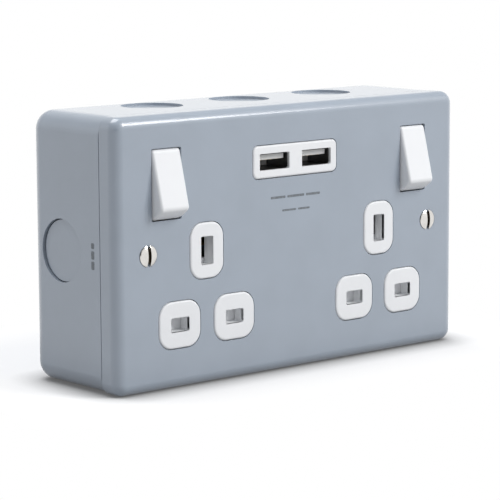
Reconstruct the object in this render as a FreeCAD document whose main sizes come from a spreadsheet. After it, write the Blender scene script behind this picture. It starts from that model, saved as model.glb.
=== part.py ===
"""Metal-clad double switched wall socket with two USB charging ports.

Millimetres. The frame has its origin at the centre of the back face. +Z is up, +X is right as seen
from the front, and the front looks along -Y. Depths are given as distances out from the wall.
"""
import FreeCAD, Part
import math
import os
from types import SimpleNamespace

import Sketcher

doc = FreeCAD.newDocument("wall_socket")
sheet = doc.addObject("Spreadsheet::Sheet", "Sizes")

SIZES = {
    # steel shells
    "plate_width": 146,
    "plate_height": 86,
    "box_depth": 36,
    "flange_depth": 8,
    "corner_radius": 4.5,
    "box_back_radius": 4,
    "cover_edge_radius": 3.6,
    "box_sheet": 1.2,
    "cover_sheet": 1.2,
    # knock-outs and holes of the box
    "knockout_dia": 20,
    "knockout_step": 0.7,
    "knockout_land": 0.6,
    "knockout_drop": 1.6,
    "wall_hole_dia": 6.2,
    "wall_hole_inset_x": 10,
    "wall_hole_inset_z": 25,
    # fixing screws and the lugs that take them
    "screw_inset": 12.7,
    "screw_head_dia": 7,
    "screw_head_dome": 0.7,
    "screw_shank_dia": 3.4,
    "screw_length": 17,
    "screw_slot_width": 1,
    "screw_slot_depth": 1.1,
    "screw_hole_dia": 3.9,
    "thread_gap": 0.05,
    "lug_sheet": 2,
    "lug_height": 10,
    "lug_end": 4.5,
    "lug_foot_gap": 0.6,
    "lug_setback": 1.5,
    # socket layout on the front
    "socket_inset": 35.8,
    "earth_z": -0.5,
    "pin_drop": 22.2,
    "pin_spread": 11.1,
    "island_proud": 0.3,
    "island_gap": 0.25,
    "island_edge": 0.6,
    "line_island_width": 16.6,
    "line_island_height": 14.8,
    "line_island_corner": 5,
    "earth_island_width": 13.5,
    "earth_island_height": 17.7,
    "earth_island_corner": 4.8,
    "line_slot_width": 7.4,
    "line_slot_height": 4.6,
    "earth_slot_width": 5,
    "earth_slot_height": 9,
    "slot_corner": 0.5,
    # front and rear mouldings
    "moulding_end_gap": 9,
    "moulding_top_gap": 5,
    "moulding_bottom_gap": 6,
    "moulding_depth": 20.8,
    "moulding_wall": 2,
    "moulding_corner": 4,
    "face_wall": 3,
    "notch_width": 9.5,
    "notch_height": 13,
    "base_thick": 2.5,
    "screw_post_dia": 7,
    "upper_post_gap": 13,
    "lower_post_inset": 16,
    "screw_post_inset": 15,
    "clinch_dia": 6,
    "clinch_height": 2,
    "fit_gap": 0.15,
    "assembly_screw_dia": 3,
    "assembly_head_dia": 5.6,
    "assembly_head_height": 2,
    "assembly_head_edge": 0.6,
    # rockers, plungers and switch arms
    "rocker_inset": 20,
    "rocker_drop": 21.4,
    "rocker_hole_width": 11.8,
    "rocker_hole_height": 22.4,
    "rocker_side_gap": 0.35,
    "rocker_pivot_depth": 4,
    "rocker_swing": 11.4,
    "rocker_face": 6.6,
    "rocker_skirt": 3.5,
    "rocker_wall": 1.8,
    "rocker_throw": 14.5,
    "rocker_edge": 0.85,
    "rocker_well_gap": 0.8,
    "rocker_stem_width": 6.4,
    "rocker_stem_length": 10.5,
    "axle_dia": 3,
    "axle_gap": 0.08,
    "axle_length": 1.6,
    "cheek_thick": 2,
    "cheek_depth": 6,
    "plunger_dia": 3,
    "plunger_gap": 0.1,
    "plunger_length": 8,
    "nose_gap": 0.15,
    "arm_length": 20,
    "arm_width": 6,
    "arm_thick": 1,
    "arm_corner": 1.5,
    "arm_tilt": 7,
    "arm_rise": 1.6,
    "arm_bead_radius": 1.1,
    "saddle_gap": 0.1,
    "saddle_reach": 2.2,
    "saddle_height": 1.15,
    "rivet_offset": 6.5,
    "rivet_radius": 1.5,
    "rivet_height": 0.5,
    # brass straps, jaws and terminals
    "strap_thick": 1,
    "strap_width": 4,
    "earth_strap_width": 5,
    "pin_relief": 0.6,
    "leaf_thick": 0.8,
    "leaf_width": 6,
    "leaf_gap": 3.8,
    "line_leaf_gap": 1.6,
    "earth_leaf_gap": 3.3,
    "live_bus_z": 8,
    "live_riser_gap": 9,
    "live_drop_gap": 2.75,
    "live_side_gap": 5.75,
    "live_turn_z": 10.75,
    "live_cross_z": -14.25,
    "neutral_bus_z": -31.25,
    "terminal_size": 8,
    "terminal_depth": 9,
    "terminal_bore": 4.4,
    "terminal_bore_depth": 5,
    "terminal_screw_dia": 3.4,
    "terminal_head_dia": 5,
    "terminal_head_height": 1.8,
    "terminal_gap": 0.2,
    "live_terminal_x": -10,
    "neutral_terminal_x": 10,
    "neutral_terminal_z": -22,
    "earth_terminal_x": 6,
    "shroud_wall": 1.5,
    "shroud_depth": 6,
    "box_terminal_inset_x": 23,
    "box_terminal_inset_z": 15,
    # shutters and their springs
    "shutter_gap": 0.2,
    "shutter_thick": 2,
    "shutter_half_width": 16,
    "shutter_travel": 5.4,
    "shutter_neck": 8,
    "shutter_bar": 1.5,
    "ramp_width": 4.4,
    "ramp_top": 0.5,
    "ramp_depth": 5.1,
    "guide_thick": 1.5,
    "spring_slot_width": 3,
    "spring_slot_length": 11,
    "spring_peg": 1.5,
    "shutter_spring_dia": 1.8,
    "plunger_spring_dia": 2.6,
    "plunger_spring_turns": 3,
    "shutter_spring_turns": 6,
    "wire_dia": 0.35,
    "keeper_width": 6,
    "keeper_height": 3,
    # USB module
    "usb_drop": 17.7,
    "usb_island_width": 36,
    "usb_island_height": 10.5,
    "usb_island_corner": 2,
    "port_spread": 9,
    "port_width": 12.6,
    "port_height": 5.3,
    "port_lip": 1,
    "shell_wall": 0.3,
    "shell_length": 13,
    "tongue_width": 11.1,
    "tongue_thick": 1.6,
    "tongue_rise": 1.3,
    "tongue_inset": 1.2,
    "tongue_base": 3,
    "contact_width": 1,
    "contact_thick": 0.2,
    "contact_length": 9,
    "contact_inner": 1,
    "contact_outer": 3.5,
    "usb_width": 40,
    "usb_height": 17,
    "usb_depth": 30.3,
    "usb_wall": 1.5,
    "board_thick": 1.6,
    "transformer_size": 12,
    "transformer_depth": 9.5,
    "core_window_height": 2.4,
    "core_window_rise": 3.6,
    "capacitor_dia": 6.3,
    "capacitor_height": 10,
    "capacitor_pitch": 24,
}


class Size:
    """A value with the sheet formula that gives it, so that sums of sizes stay tied to the sheet."""

    def __init__(self, text, value):
        self.text = text
        self.value = float(value)

    def __add__(self, other):
        other = as_size(other)
        return Size(f"({self.text} + {other.text})", self.value + other.value)

    def __sub__(self, other):
        other = as_size(other)
        return Size(f"({self.text} - {other.text})", self.value - other.value)

    def __mul__(self, other):
        other = as_size(other)
        return Size(f"({self.text} * {other.text})", self.value * other.value)

    def __truediv__(self, other):
        other = as_size(other)
        return Size(f"({self.text} / {other.text})", self.value / other.value)

    def __neg__(self):
        return Size(f"(0 - {self.text})", -self.value)

    def __radd__(self, other):
        return as_size(other) + self

    def __rsub__(self, other):
        return as_size(other) - self

    def __rmul__(self, other):
        return as_size(other) * self


def as_size(number):
    """Take a plain number for a size."""
    return number if isinstance(number, Size) else Size(f"{number}", number)


def cosine(angle):
    """Cosine of a size that is an angle in degrees."""
    return Size(f"cos({angle.text})", math.cos(math.radians(angle.value)))


def sine(angle):
    """Sine of a size that is an angle in degrees."""
    return Size(f"sin({angle.text})", math.sin(math.radians(angle.value)))


def root(square):
    """Square root of a size."""
    return Size(f"sqrt({square.text})", math.sqrt(square.value))


def read_sizes():
    """Write the driving sizes into the sheet and read them back by name."""
    for row, (name, number) in enumerate(SIZES.items(), start=1):
        sheet.set(f"A{row}", name)
        sheet.set(f"B{row}", str(number))
        sheet.setAlias(f"B{row}", name)
    doc.recompute()
    return SimpleNamespace(**{name: Size(f"Sizes.{name}", sheet.get(name)) for name in SIZES})


S = read_sizes()

# depths out from the wall
front_out = S.box_depth + S.flange_depth
sheet_back = front_out - S.cover_sheet
island_out = front_out + S.island_proud
wall_back = sheet_back - S.face_wall
shutter_front = wall_back - S.shutter_gap
shutter_back = shutter_front - S.shutter_thick
joint_out = sheet_back - S.moulding_depth
base_front = joint_out - S.strap_thick
base_back = base_front - S.base_thick
pivot_out = front_out - S.rocker_pivot_depth
arm_pivot_out = joint_out + S.arm_rise
line_z = S.earth_z - S.pin_drop
lug_out = S.box_depth - S.lug_setback
knockout_out = S.box_depth / 2 - S.knockout_drop
line_leaf_out = shutter_back - S.line_leaf_gap
earth_leaf_out = shutter_back - S.earth_leaf_gap
usb_back_out = island_out - S.usb_depth

# places across the front, kept from the ends and edges of the plate
half_length = S.plate_width / 2
half_height = S.plate_height / 2
inner_half_width = half_length - S.box_sheet
socket_x = half_length - S.socket_inset
rocker_x = half_length - S.rocker_inset
screw_x = half_length - S.screw_inset
moulding_end = half_length - S.moulding_end_gap
moulding_top = half_height - S.moulding_top_gap
moulding_bottom = S.moulding_bottom_gap - half_height
upper_post_x = S.usb_width / 2 + S.upper_post_gap
lower_post_x = half_length - S.lower_post_inset
rocker_z = half_height - S.rocker_drop
usb_z = half_height - S.usb_drop
screw_post_z = half_height - S.screw_post_inset
live_riser_x = rocker_x - S.live_riser_gap
live_drop_x = rocker_x - S.live_drop_gap
live_side_x = rocker_x + S.live_side_gap


def vector(x, y, z=0):
    """A point from sizes or plain numbers."""
    return FreeCAD.Vector(as_size(x).value, as_size(y).value, as_size(z).value)


def bind(item, path, size):
    """Tie one property of an object to the sheet."""
    item.setExpression(path, as_size(size).text)


def body_of(label):
    """Start the body of one sub-part."""
    body = doc.addObject("PartDesign::Body", label)
    body.Label = label
    return body


def sketch_on(body, role, offset, name):
    """Put an empty sketch on an origin plane of its own body, moved along the plane's normal."""
    plane = next(item for item in body.Origin.OriginFeatures if item.Role == role)
    sketch = body.newObject("Sketcher::SketchObject", name)
    sketch.AttachmentSupport = [(plane, "")]
    sketch.MapMode = "FlatFace"
    bind(sketch, "AttachmentOffset.Base.z", offset)
    return sketch


def front_sketch(body, out, name):
    """A sketch seen from the front, X to the right and Z up, at a distance out from the wall."""
    return sketch_on(body, "XZ_Plane", out, name)


def add_rules(sketch, plain, driven):
    """Add constraints; each driven one is (kind, arguments, size) and is tied to the sheet."""
    rules = list(plain)
    first = len(sketch.Constraints) + len(rules)
    for kind, arguments, size in driven:
        rules.append(Sketcher.Constraint(kind, *arguments, as_size(size).value))
    sketch.addConstraint(rules)
    for number, (_, _, size) in enumerate(driven, start=first):
        bind(sketch, f"Constraints[{number}]", size)


def point_rules(geometry, end, x, y):
    """Distances that place one point of a sketch from its origin."""
    return [
        ("DistanceX", (-1, 1, geometry, end), x),
        ("DistanceY", (-1, 1, geometry, end), y),
    ]


def add_polygon(sketch, points):
    """Add a closed outline of straight edges with every corner tied to the sheet."""
    first = len(sketch.Geometry)
    count = len(points)
    corners = [vector(x, y) for x, y in points]
    sketch.addGeometry([Part.LineSegment(corners[i], corners[(i + 1) % count]) for i in range(count)])
    joins = [
        Sketcher.Constraint("Coincident", first + i, 2, first + (i + 1) % count, 1) for i in range(count)
    ]
    places = []
    for i, (x, y) in enumerate(points):
        places += point_rules(first + i, 1, x, y)
    add_rules(sketch, joins, places)


def add_box(sketch, x0, y0, x1, y1):
    """Add a rectangle between two corners."""
    add_polygon(sketch, [(x0, y0), (x1, y0), (x1, y1), (x0, y1)])


def add_centred_box(sketch, x, y, width, height):
    """Add a rectangle about its centre."""
    add_box(sketch, x - width / 2, y - height / 2, x + width / 2, y + height / 2)


def add_rounded_box(sketch, x, y, width, height, radius):
    """Add a rectangle with tangent corner arcs about its centre."""
    first = len(sketch.Geometry)
    reach_x = width / 2 - radius
    reach_y = height / 2 - radius
    centres = [
        (x + reach_x, y + reach_y),
        (x - reach_x, y + reach_y),
        (x - reach_x, y - reach_y),
        (x + reach_x, y - reach_y),
    ]
    arcs = []
    for quarter, (centre_x, centre_y) in enumerate(centres):
        circle = Part.Circle(vector(centre_x, centre_y), vector(0, 0, 1), as_size(radius).value)
        start = quarter * math.pi / 2
        arcs.append(Part.ArcOfCircle(circle, start, start + math.pi / 2))
    sides = [Part.LineSegment(arcs[i].EndPoint, arcs[(i + 1) % 4].StartPoint) for i in range(4)]
    sketch.addGeometry(arcs + sides)
    tangents = []
    for i in range(4):
        tangents.append(Sketcher.Constraint("Tangent", first + i, 2, first + 4 + i, 1))
        tangents.append(Sketcher.Constraint("Tangent", first + 4 + i, 2, first + (i + 1) % 4, 1))
    places = []
    for i, (centre_x, centre_y) in enumerate(centres):
        places += point_rules(first + i, 3, centre_x, centre_y)
        places.append(("Radius", (first + i,), radius))
    add_rules(sketch, tangents, places)


def add_circle(sketch, x, y, diameter):
    """Add a circle about its centre."""
    number = len(sketch.Geometry)
    sketch.addGeometry([Part.Circle(vector(x, y), vector(0, 0, 1), as_size(diameter).value / 2)])
    add_rules(sketch, [], point_rules(number, 3, x, y) + [("Diameter", (number,), diameter)])


def pad(body, sketch, length, name, backwards=False):
    """Raise a sketch into a solid along its normal, or against it."""
    feature = body.newObject("PartDesign::Pad", name)
    feature.Profile = sketch
    feature.Reversed = backwards
    bind(feature, "Length", length)
    return feature


def pocket(body, sketch, length, name, forwards=False):
    """Cut a sketch into the solid against its normal, or along it."""
    feature = body.newObject("PartDesign::Pocket", name)
    feature.Profile = sketch
    feature.Reversed = forwards
    bind(feature, "Length", length)
    return feature


def revolve(body, sketch, name):
    """Turn a profile once round the sketch's upright axis."""
    feature = body.newObject("PartDesign::Revolution", name)
    feature.Profile = sketch
    feature.ReferenceAxis = (sketch, ["V_Axis"])
    feature.Angle = 360
    return feature


def place(body, x, out, z):
    """Move a body that was drawn about its own axis to its place."""
    bind(body, "Placement.Base.x", x)
    bind(body, "Placement.Base.y", -as_size(out))
    bind(body, "Placement.Base.z", z)


def edge_names(shape, chosen):
    """Names of the edges that a test picks."""
    return [f"Edge{i}" for i, edge in enumerate(shape.Edges, start=1) if chosen(edge)]


def lies_at_out(edge, out):
    """True for an edge that lies wholly at one distance from the wall."""
    level = -as_size(out).value
    box = edge.BoundBox
    return abs(box.YMin - level) < 1e-4 and abs(box.YMax - level) < 1e-4


def round_edges(body, base, radius, name, chosen):
    """Round the edges that a test picks."""
    doc.recompute()
    feature = body.newObject("PartDesign::Fillet", name)
    feature.Base = (base, edge_names(base.Shape, chosen))
    bind(feature, "Radius", radius)
    return feature


def hollow(body, base, sheet_size, out, name):
    """Leave a sheet's thickness inside the outer form, open at one distance from the wall."""
    doc.recompute()
    level = -as_size(out).value
    faces = [
        f"Face{i}"
        for i, face in enumerate(base.Shape.Faces, start=1)
        if abs(face.BoundBox.YMin - level) < 1e-4 and abs(face.BoundBox.YMax - level) < 1e-4
    ]
    feature = body.newObject("PartDesign::Thickness", name)
    feature.Base = (base, faces)
    feature.Reversed = True
    bind(feature, "Value", sheet_size)
    return feature


SIDES = {"left": -1, "right": 1}


def screw_posts():
    """Places of the four assembly screws."""
    upper = [(side * upper_post_x, screw_post_z) for side in (-1, 1)]
    lower = [(side * lower_post_x, -screw_post_z) for side in (-1, 1)]
    return upper + lower


def line_pins():
    """Places of the four live and neutral apertures."""
    return [
        (socket * socket_x + pin * S.pin_spread, line_z) for socket in (-1, 1) for pin in (-1, 1)
    ]


def earth_pins():
    """Places of the two earth apertures."""
    return [(side * socket_x, S.earth_z) for side in (-1, 1)]


def make_cover_plate():
    """Pressed steel cover: a shallow tray with rounded edges, holes for what shows through it, and
    four blind clinch nuts on its inner face that the assembly screws run into."""
    body = body_of("cover_plate")
    outline = front_sketch(body, S.box_depth, "cover_outline")
    add_rounded_box(outline, 0, 0, S.plate_width, S.plate_height, S.corner_radius)
    block = pad(body, outline, S.flange_depth, "cover_block")
    soft = round_edges(
        body, block, S.cover_edge_radius, "cover_edge", lambda edge: lies_at_out(edge, front_out)
    )
    hollow(body, soft, S.cover_sheet, S.box_depth, "cover_tray")

    nuts = front_sketch(body, sheet_back, "clinch_outline")
    for x, z in screw_posts():
        add_circle(nuts, x, z, S.clinch_dia)
    pad(body, nuts, S.clinch_height, "clinch_nuts", backwards=True)
    bores = front_sketch(body, sheet_back - S.clinch_height, "clinch_bore_outline")
    for x, z in screw_posts():
        add_circle(bores, x, z, S.assembly_screw_dia + 2 * S.fit_gap)
    pocket(body, bores, S.clinch_height, "clinch_bores", forwards=True)

    holes = front_sketch(body, front_out, "island_hole_outline")
    gap = 2 * S.island_gap
    for x, z in line_pins():
        add_rounded_box(
            holes, x, z, S.line_island_width + gap, S.line_island_height + gap,
            S.line_island_corner + S.island_gap,
        )
    for x, z in earth_pins():
        add_rounded_box(
            holes, x, z, S.earth_island_width + gap, S.earth_island_height + gap,
            S.earth_island_corner + S.island_gap,
        )
    add_rounded_box(
        holes, 0, usb_z, S.usb_island_width + gap, S.usb_island_height + gap,
        S.usb_island_corner + S.island_gap,
    )
    for side in (-1, 1):
        add_centred_box(
            holes, side * rocker_x, rocker_z, S.rocker_hole_width, S.rocker_hole_height
        )
        add_circle(holes, side * screw_x, 0, S.screw_hole_dia)
    pocket(body, holes, 2 * S.cover_sheet, "cover_holes")

    for name, side in SIDES.items():
        cone = body.newObject("PartDesign::SubtractiveCone", f"dimple_{name}")
        cone.MapMode = "Deactivated"
        bind(cone, "Radius1", S.screw_hole_dia / 2)
        bind(cone, "Radius2", S.screw_head_dia / 2)
        bind(cone, "Height", S.cover_sheet)
        cone.Placement.Rotation = FreeCAD.Rotation(FreeCAD.Vector(1, 0, 0), 90)
        bind(cone, "Placement.Base.x", side * screw_x)
        bind(cone, "Placement.Base.y", -sheet_back)


def make_back_box():
    """Pressed steel box: a deep tray with rounded back edges. Each knock-out is a disc sheared part
    way through the sheet, so it stands a step inside the wall and stays one piece with it."""
    body = body_of("back_box")
    outline = front_sketch(body, 0, "box_outline")
    add_rounded_box(outline, 0, 0, S.plate_width, S.plate_height, S.corner_radius)
    block = pad(body, outline, S.box_depth, "box_block")
    soft = round_edges(body, block, S.box_back_radius, "box_edge", lambda edge: lies_at_out(edge, 0))
    hollow(body, soft, S.box_sheet, S.box_depth, "box_tray")

    pair = [-half_length / 2, half_length / 2]
    row = pair + [as_size(0)]
    out = -knockout_out
    land = S.knockout_dia - 2 * S.knockout_land
    for name, role, level, spots, away in (
        ("top", "XY_Plane", half_height, [(x, out) for x in row], True),
        ("bottom", "XY_Plane", -half_height, [(x, out) for x in row], False),
        ("right", "YZ_Plane", half_length, [(out, as_size(0))], True),
        ("left", "YZ_Plane", -half_length, [(out, as_size(0))], False),
        ("back", "XZ_Plane", as_size(0), [(x, as_size(0)) for x in pair], False),
    ):
        inner = level - S.box_sheet if away else level + S.box_sheet
        discs = sketch_on(body, role, inner, f"{name}_disc_outline")
        steps = sketch_on(body, role, level, f"{name}_step_outline")
        for x, y in spots:
            add_circle(discs, x, y, land)
            add_circle(steps, x, y, S.knockout_dia)
        pad(body, discs, S.knockout_step, f"{name}_discs", backwards=away)
        pocket(body, steps, S.knockout_step, f"{name}_steps", forwards=not away)

    holes = front_sketch(body, S.box_sheet, "wall_hole_outline")
    for side in (-1, 1):
        for level in (-1, 1):
            add_circle(
                holes, side * (half_length - S.wall_hole_inset_x),
                level * (half_height - S.wall_hole_inset_z), S.wall_hole_dia,
            )
    pocket(body, holes, S.box_sheet, "wall_holes")


def make_box_lug(name, side):
    """Folded bracket welded to the box's end wall, tapped for a fixing screw."""
    body = body_of(f"box_lug_{name}")
    profile = sketch_on(body, "XY_Plane", -S.lug_height / 2, "lug_profile")
    wall = side * inner_half_width
    inside = side * (inner_half_width - S.lug_sheet)
    tip = side * (screw_x - S.lug_end)
    top = -lug_out
    under = -(lug_out - S.lug_sheet)
    foot = -(knockout_out + S.knockout_dia / 2 + S.lug_foot_gap)
    add_polygon(
        profile, [(wall, top), (tip, top), (tip, under), (inside, under), (inside, foot), (wall, foot)]
    )
    bracket = pad(body, profile, S.lug_height, "lug_bracket")
    corner_x = side * (inner_half_width - S.lug_sheet).value
    round_edges(
        body, bracket, S.lug_sheet / 2, "lug_bend",
        lambda edge: abs(edge.BoundBox.XMin - corner_x) < 1e-4
        and edge.BoundBox.XLength < 1e-4
        and lies_at_out(edge, lug_out - S.lug_sheet),
    )
    hole = front_sketch(body, lug_out, "lug_hole_outline")
    add_circle(hole, side * screw_x, 0, S.screw_shank_dia + 2 * S.thread_gap)
    pocket(body, hole, S.lug_sheet, "lug_hole")


def make_fixing_screw(name, side):
    """Raised countersunk screw with an upright slot, drawn about its own axis."""
    body = body_of(f"fixing_screw_{name}")
    profile = sketch_on(body, "XY_Plane", 0, "screw_profile")
    head = S.screw_head_dia / 2 - S.fit_gap
    shank = S.screw_shank_dia / 2
    cone = (head - shank) * S.cover_sheet * 2 / (S.screw_head_dia - S.screw_hole_dia)
    first = len(profile.Geometry)
    dome = S.screw_head_dome
    sphere = (head * head + dome * dome) / (2 * dome)
    centre = vector(0, sphere - dome)
    rim = vector(head, 0)
    crown = vector(0, -dome)
    circle = Part.Circle(centre, vector(0, 0, 1), sphere.value)
    start = math.atan2(crown.y - centre.y, crown.x - centre.x)
    finish = math.atan2(rim.y - centre.y, rim.x - centre.x)
    profile.addGeometry(
        [
            Part.ArcOfCircle(circle, start, finish),
            Part.LineSegment(rim, vector(shank, cone)),
            Part.LineSegment(vector(shank, cone), vector(shank, S.screw_length)),
            Part.LineSegment(vector(shank, S.screw_length), vector(0, S.screw_length)),
            Part.LineSegment(vector(0, S.screw_length), crown),
        ]
    )
    joins = [
        Sketcher.Constraint("Coincident", first + i, 2, first + (i + 1) % 5, 1) for i in range(5)
    ]
    places = (
        point_rules(first, 1, 0, -dome)
        + point_rules(first, 2, head, 0)
        + point_rules(first + 2, 1, shank, cone)
        + point_rules(first + 3, 1, shank, S.screw_length)
        + point_rules(first + 4, 1, 0, S.screw_length)
        + [("Radius", (first,), sphere)]
    )
    add_rules(profile, joins, places)
    revolve(body, profile, "screw_turned")
    slot = front_sketch(body, dome, "slot_outline")
    add_centred_box(slot, 0, 0, S.screw_slot_width, S.screw_head_dia)
    pocket(body, slot, S.screw_slot_depth, "screw_slot")
    place(body, side * screw_x, front_out, 0)


def add_moulding_outline(sketch, inset):
    """Outline of the mouldings, with a notch at each end that clears the box's lugs."""
    half = moulding_end - inset
    top = moulding_top - inset
    bottom = moulding_bottom + inset
    notch = moulding_end - S.notch_width - inset
    notch_half = S.notch_height / 2 + inset
    right = [(half, bottom), (half, -notch_half), (notch, -notch_half)]
    right += [(notch, notch_half), (half, notch_half), (half, top)]
    left = [(-x, z) for x, z in reversed(right)]
    add_polygon(sketch, right + left)


def outer_corner(edge):
    """True for an edge along the depth at one of the moulding's four outer corners."""
    box = edge.BoundBox
    if box.XLength > 1e-4 or box.ZLength > 1e-4:
        return False
    at_side = abs(abs(box.XMin) - moulding_end.value) < 1e-4
    at_top = abs(box.ZMin - moulding_top.value) < 1e-4
    at_bottom = abs(box.ZMin - moulding_bottom.value) < 1e-4
    return at_side and (at_top or at_bottom)


def make_front_moulding():
    """White moulding behind the cover: six islands that stand out through it, a well with bearings
    for each rocker, guides for the shutters and posts for the assembly screws."""
    body = body_of("front_moulding")
    outline = front_sketch(body, base_front, "moulding_outline")
    add_moulding_outline(outline, as_size(0))
    block = pad(body, outline, sheet_back - base_front, "moulding_block")
    round_edges(body, block, S.moulding_corner, "moulding_corners", outer_corner)
    inside = front_sketch(body, base_front, "moulding_inside")
    add_moulding_outline(inside, S.moulding_wall)
    pocket(body, inside, wall_back - base_front, "moulding_cavity", forwards=True)

    islands = front_sketch(body, sheet_back, "island_outline")
    for x, z in line_pins():
        add_rounded_box(
            islands, x, z, S.line_island_width, S.line_island_height, S.line_island_corner
        )
    for x, z in earth_pins():
        add_rounded_box(
            islands, x, z, S.earth_island_width, S.earth_island_height, S.earth_island_corner
        )
    raised = pad(body, islands, island_out - sheet_back, "islands")
    round_edges(body, raised, S.island_edge, "island_edges", lambda edge: lies_at_out(edge, island_out))

    ribs = front_sketch(body, wall_back, "rib_outline")
    post = S.screw_post_dia
    for x, z in screw_posts():
        add_circle(ribs, x, z, post)
    pad(body, ribs, wall_back - base_front, "screw_posts", backwards=True)

    guides = front_sketch(body, wall_back, "guide_outline")
    guide = S.shutter_half_width + S.shutter_gap
    guide_top = line_z + S.line_slot_height / 2 + S.shutter_travel
    for side in (-1, 1):
        for edge in (-1, 1):
            near = side * socket_x + edge * guide
            far = side * socket_x + edge * (guide + S.guide_thick)
            low = moulding_bottom + S.moulding_wall
            add_box(guides, near, low, far, guide_top)
        peg_top = line_z - S.line_slot_height / 2 + S.spring_peg / 2
        add_box(
            guides, side * socket_x - (S.spring_slot_width / 2 - S.shutter_gap),
            peg_top - S.spring_peg, side * socket_x + (S.spring_slot_width / 2 - S.shutter_gap),
            peg_top,
        )
    pad(body, guides, S.shutter_gap + S.shutter_thick, "shutter_guides", backwards=True)

    wells = front_sketch(body, wall_back, "well_outline")
    well_half = S.rocker_swing + S.rocker_well_gap
    for side in (-1, 1):
        for cheek in (-1, 1):
            near = side * rocker_x + cheek * S.rocker_hole_width / 2
            far = near + cheek * S.cheek_thick
            add_box(wells, near, rocker_z - well_half, far, rocker_z + well_half)
    pad(body, wells, S.cheek_depth, "rocker_cheeks", backwards=True)

    openings = front_sketch(body, sheet_back, "opening_outline")
    for side in (-1, 1):
        add_centred_box(
            openings, side * rocker_x, rocker_z, S.rocker_hole_width, 2 * well_half
        )
    add_centred_box(
        openings, 0, usb_z, S.usb_island_width + 2 * S.fit_gap, S.usb_island_height + 2 * S.fit_gap
    )
    pocket(body, openings, S.face_wall, "front_openings")

    slots = front_sketch(body, island_out, "aperture_outline")
    for x, z in line_pins():
        add_rounded_box(slots, x, z, S.line_slot_width, S.line_slot_height, S.slot_corner)
    for x, z in earth_pins():
        add_rounded_box(slots, x, z, S.earth_slot_width, S.earth_slot_height, S.slot_corner)
    pocket(body, slots, island_out - wall_back, "pin_apertures")

    seats = front_sketch(body, sheet_back, "clinch_seat_outline")
    for x, z in screw_posts():
        add_circle(seats, x, z, S.clinch_dia + 2 * S.fit_gap)
    pocket(body, seats, S.clinch_height + S.fit_gap, "clinch_seats")
    bores = front_sketch(body, sheet_back, "screw_bore_outline")
    for x, z in screw_posts():
        add_circle(bores, x, z, S.assembly_screw_dia + 2 * S.fit_gap)
    pocket(body, bores, sheet_back - base_front, "screw_bores")

    bearing_half = rocker_x + S.rocker_hole_width / 2 + S.cheek_thick
    bearing_length = S.rocker_hole_width + 2 * S.cheek_thick
    for name, side in SIDES.items():
        level = bearing_half if side > 0 else bearing_length - bearing_half
        bearing = sketch_on(body, "YZ_Plane", level, f"bearing_outline_{name}")
        add_circle(bearing, -pivot_out, rocker_z, S.axle_dia + 2 * S.axle_gap)
        pocket(body, bearing, bearing_length, f"bearing_{name}")


def make_rear_moulding():
    """Moulding that closes the mechanism: a flat base that carries the brass, with keepers behind
    the shutters and shrouds round the terminals."""
    body = body_of("rear_moulding")
    outline = front_sketch(body, base_back, "base_outline")
    add_moulding_outline(outline, as_size(0))
    block = pad(body, outline, S.base_thick, "base_block")
    round_edges(body, block, S.moulding_corner, "base_corners", outer_corner)

    keepers = front_sketch(body, base_front, "keeper_outline")
    for side in (-1, 1):
        add_centred_box(
            keepers, side * socket_x, line_z + S.keeper_height, S.keeper_width, S.keeper_height
        )
    pad(body, keepers, shutter_back - S.shutter_gap - base_front, "shutter_keepers")

    shrouds = front_sketch(body, base_back, "shroud_outline")
    cell = S.terminal_size + 2 * S.terminal_gap
    for x, z in terminals():
        for edge in (-1, 1):
            near = x + edge * cell / 2
            far = near + edge * S.shroud_wall
            add_box(shrouds, near, z - cell / 2, far, z + cell / 2)
    pad(body, shrouds, S.shroud_depth, "terminal_shrouds", backwards=True)

    cells = front_sketch(body, base_front, "terminal_cell_outline")
    for x, z in terminals():
        add_centred_box(cells, x, z, cell, cell)
    usb_gap = 2 * S.fit_gap
    add_centred_box(cells, 0, usb_z, S.usb_width + usb_gap, S.usb_height + usb_gap)
    pocket(body, cells, S.base_thick, "base_cells")

    bores = front_sketch(body, base_front, "base_bore_outline")
    for x, z in screw_posts():
        add_circle(bores, x, z, S.assembly_screw_dia + 2 * S.fit_gap)
    pocket(body, bores, S.base_thick, "base_bores")


def terminals():
    """Places of the live, neutral and earth terminal blocks."""
    return [
        (S.live_terminal_x, S.live_bus_z),
        (S.neutral_terminal_x, S.neutral_terminal_z),
        (S.earth_terminal_x, S.earth_z),
    ]


def make_assembly_screws():
    """Four pan-head screws from the back of the mouldings into the cover's clinch nuts."""
    body = body_of("assembly_screws")
    shanks = front_sketch(body, base_back, "shank_outline")
    heads = front_sketch(body, base_back, "head_outline")
    for x, z in screw_posts():
        add_circle(shanks, x, z, S.assembly_screw_dia)
        add_circle(heads, x, z, S.assembly_head_dia)
    pad(body, shanks, sheet_back - S.fit_gap - base_back, "shanks").AllowMultiFace = True
    head = pad(body, heads, S.assembly_head_height, "heads", backwards=True)
    level = base_back - S.assembly_head_height
    round_edges(
        body, head, S.assembly_head_edge, "head_edges", lambda edge: lies_at_out(edge, level)
    )


def strap_body(label, points):
    """Start a brass pressing: its flat strap lies between the mouldings."""
    body = body_of(label)
    outline = front_sketch(body, base_front, "strap_outline")
    add_polygon(outline, points)
    pad(body, outline, S.strap_thick, "strap")
    return body


def add_jaw(body, x, z, upright, tip_out, name):
    """Fold two spring leaves forward from the strap, one each side of the pin."""
    leaves = front_sketch(body, joint_out - S.strap_thick, f"{name}_leaf_outline")
    for side in (-1, 1):
        near = side * S.leaf_gap / 2
        far = side * (S.leaf_gap / 2 + S.leaf_thick)
        half = S.leaf_width / 2
        if upright:
            add_box(leaves, x + near, z - half, x + far, z + half)
        else:
            add_box(leaves, x - half, z + near, x + half, z + far)
    pad(body, leaves, tip_out - base_front, f"{name}_leaves")


def jaw_base():
    """Half the side of the flat that carries one jaw."""
    return S.leaf_gap / 2 + S.leaf_thick


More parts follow.
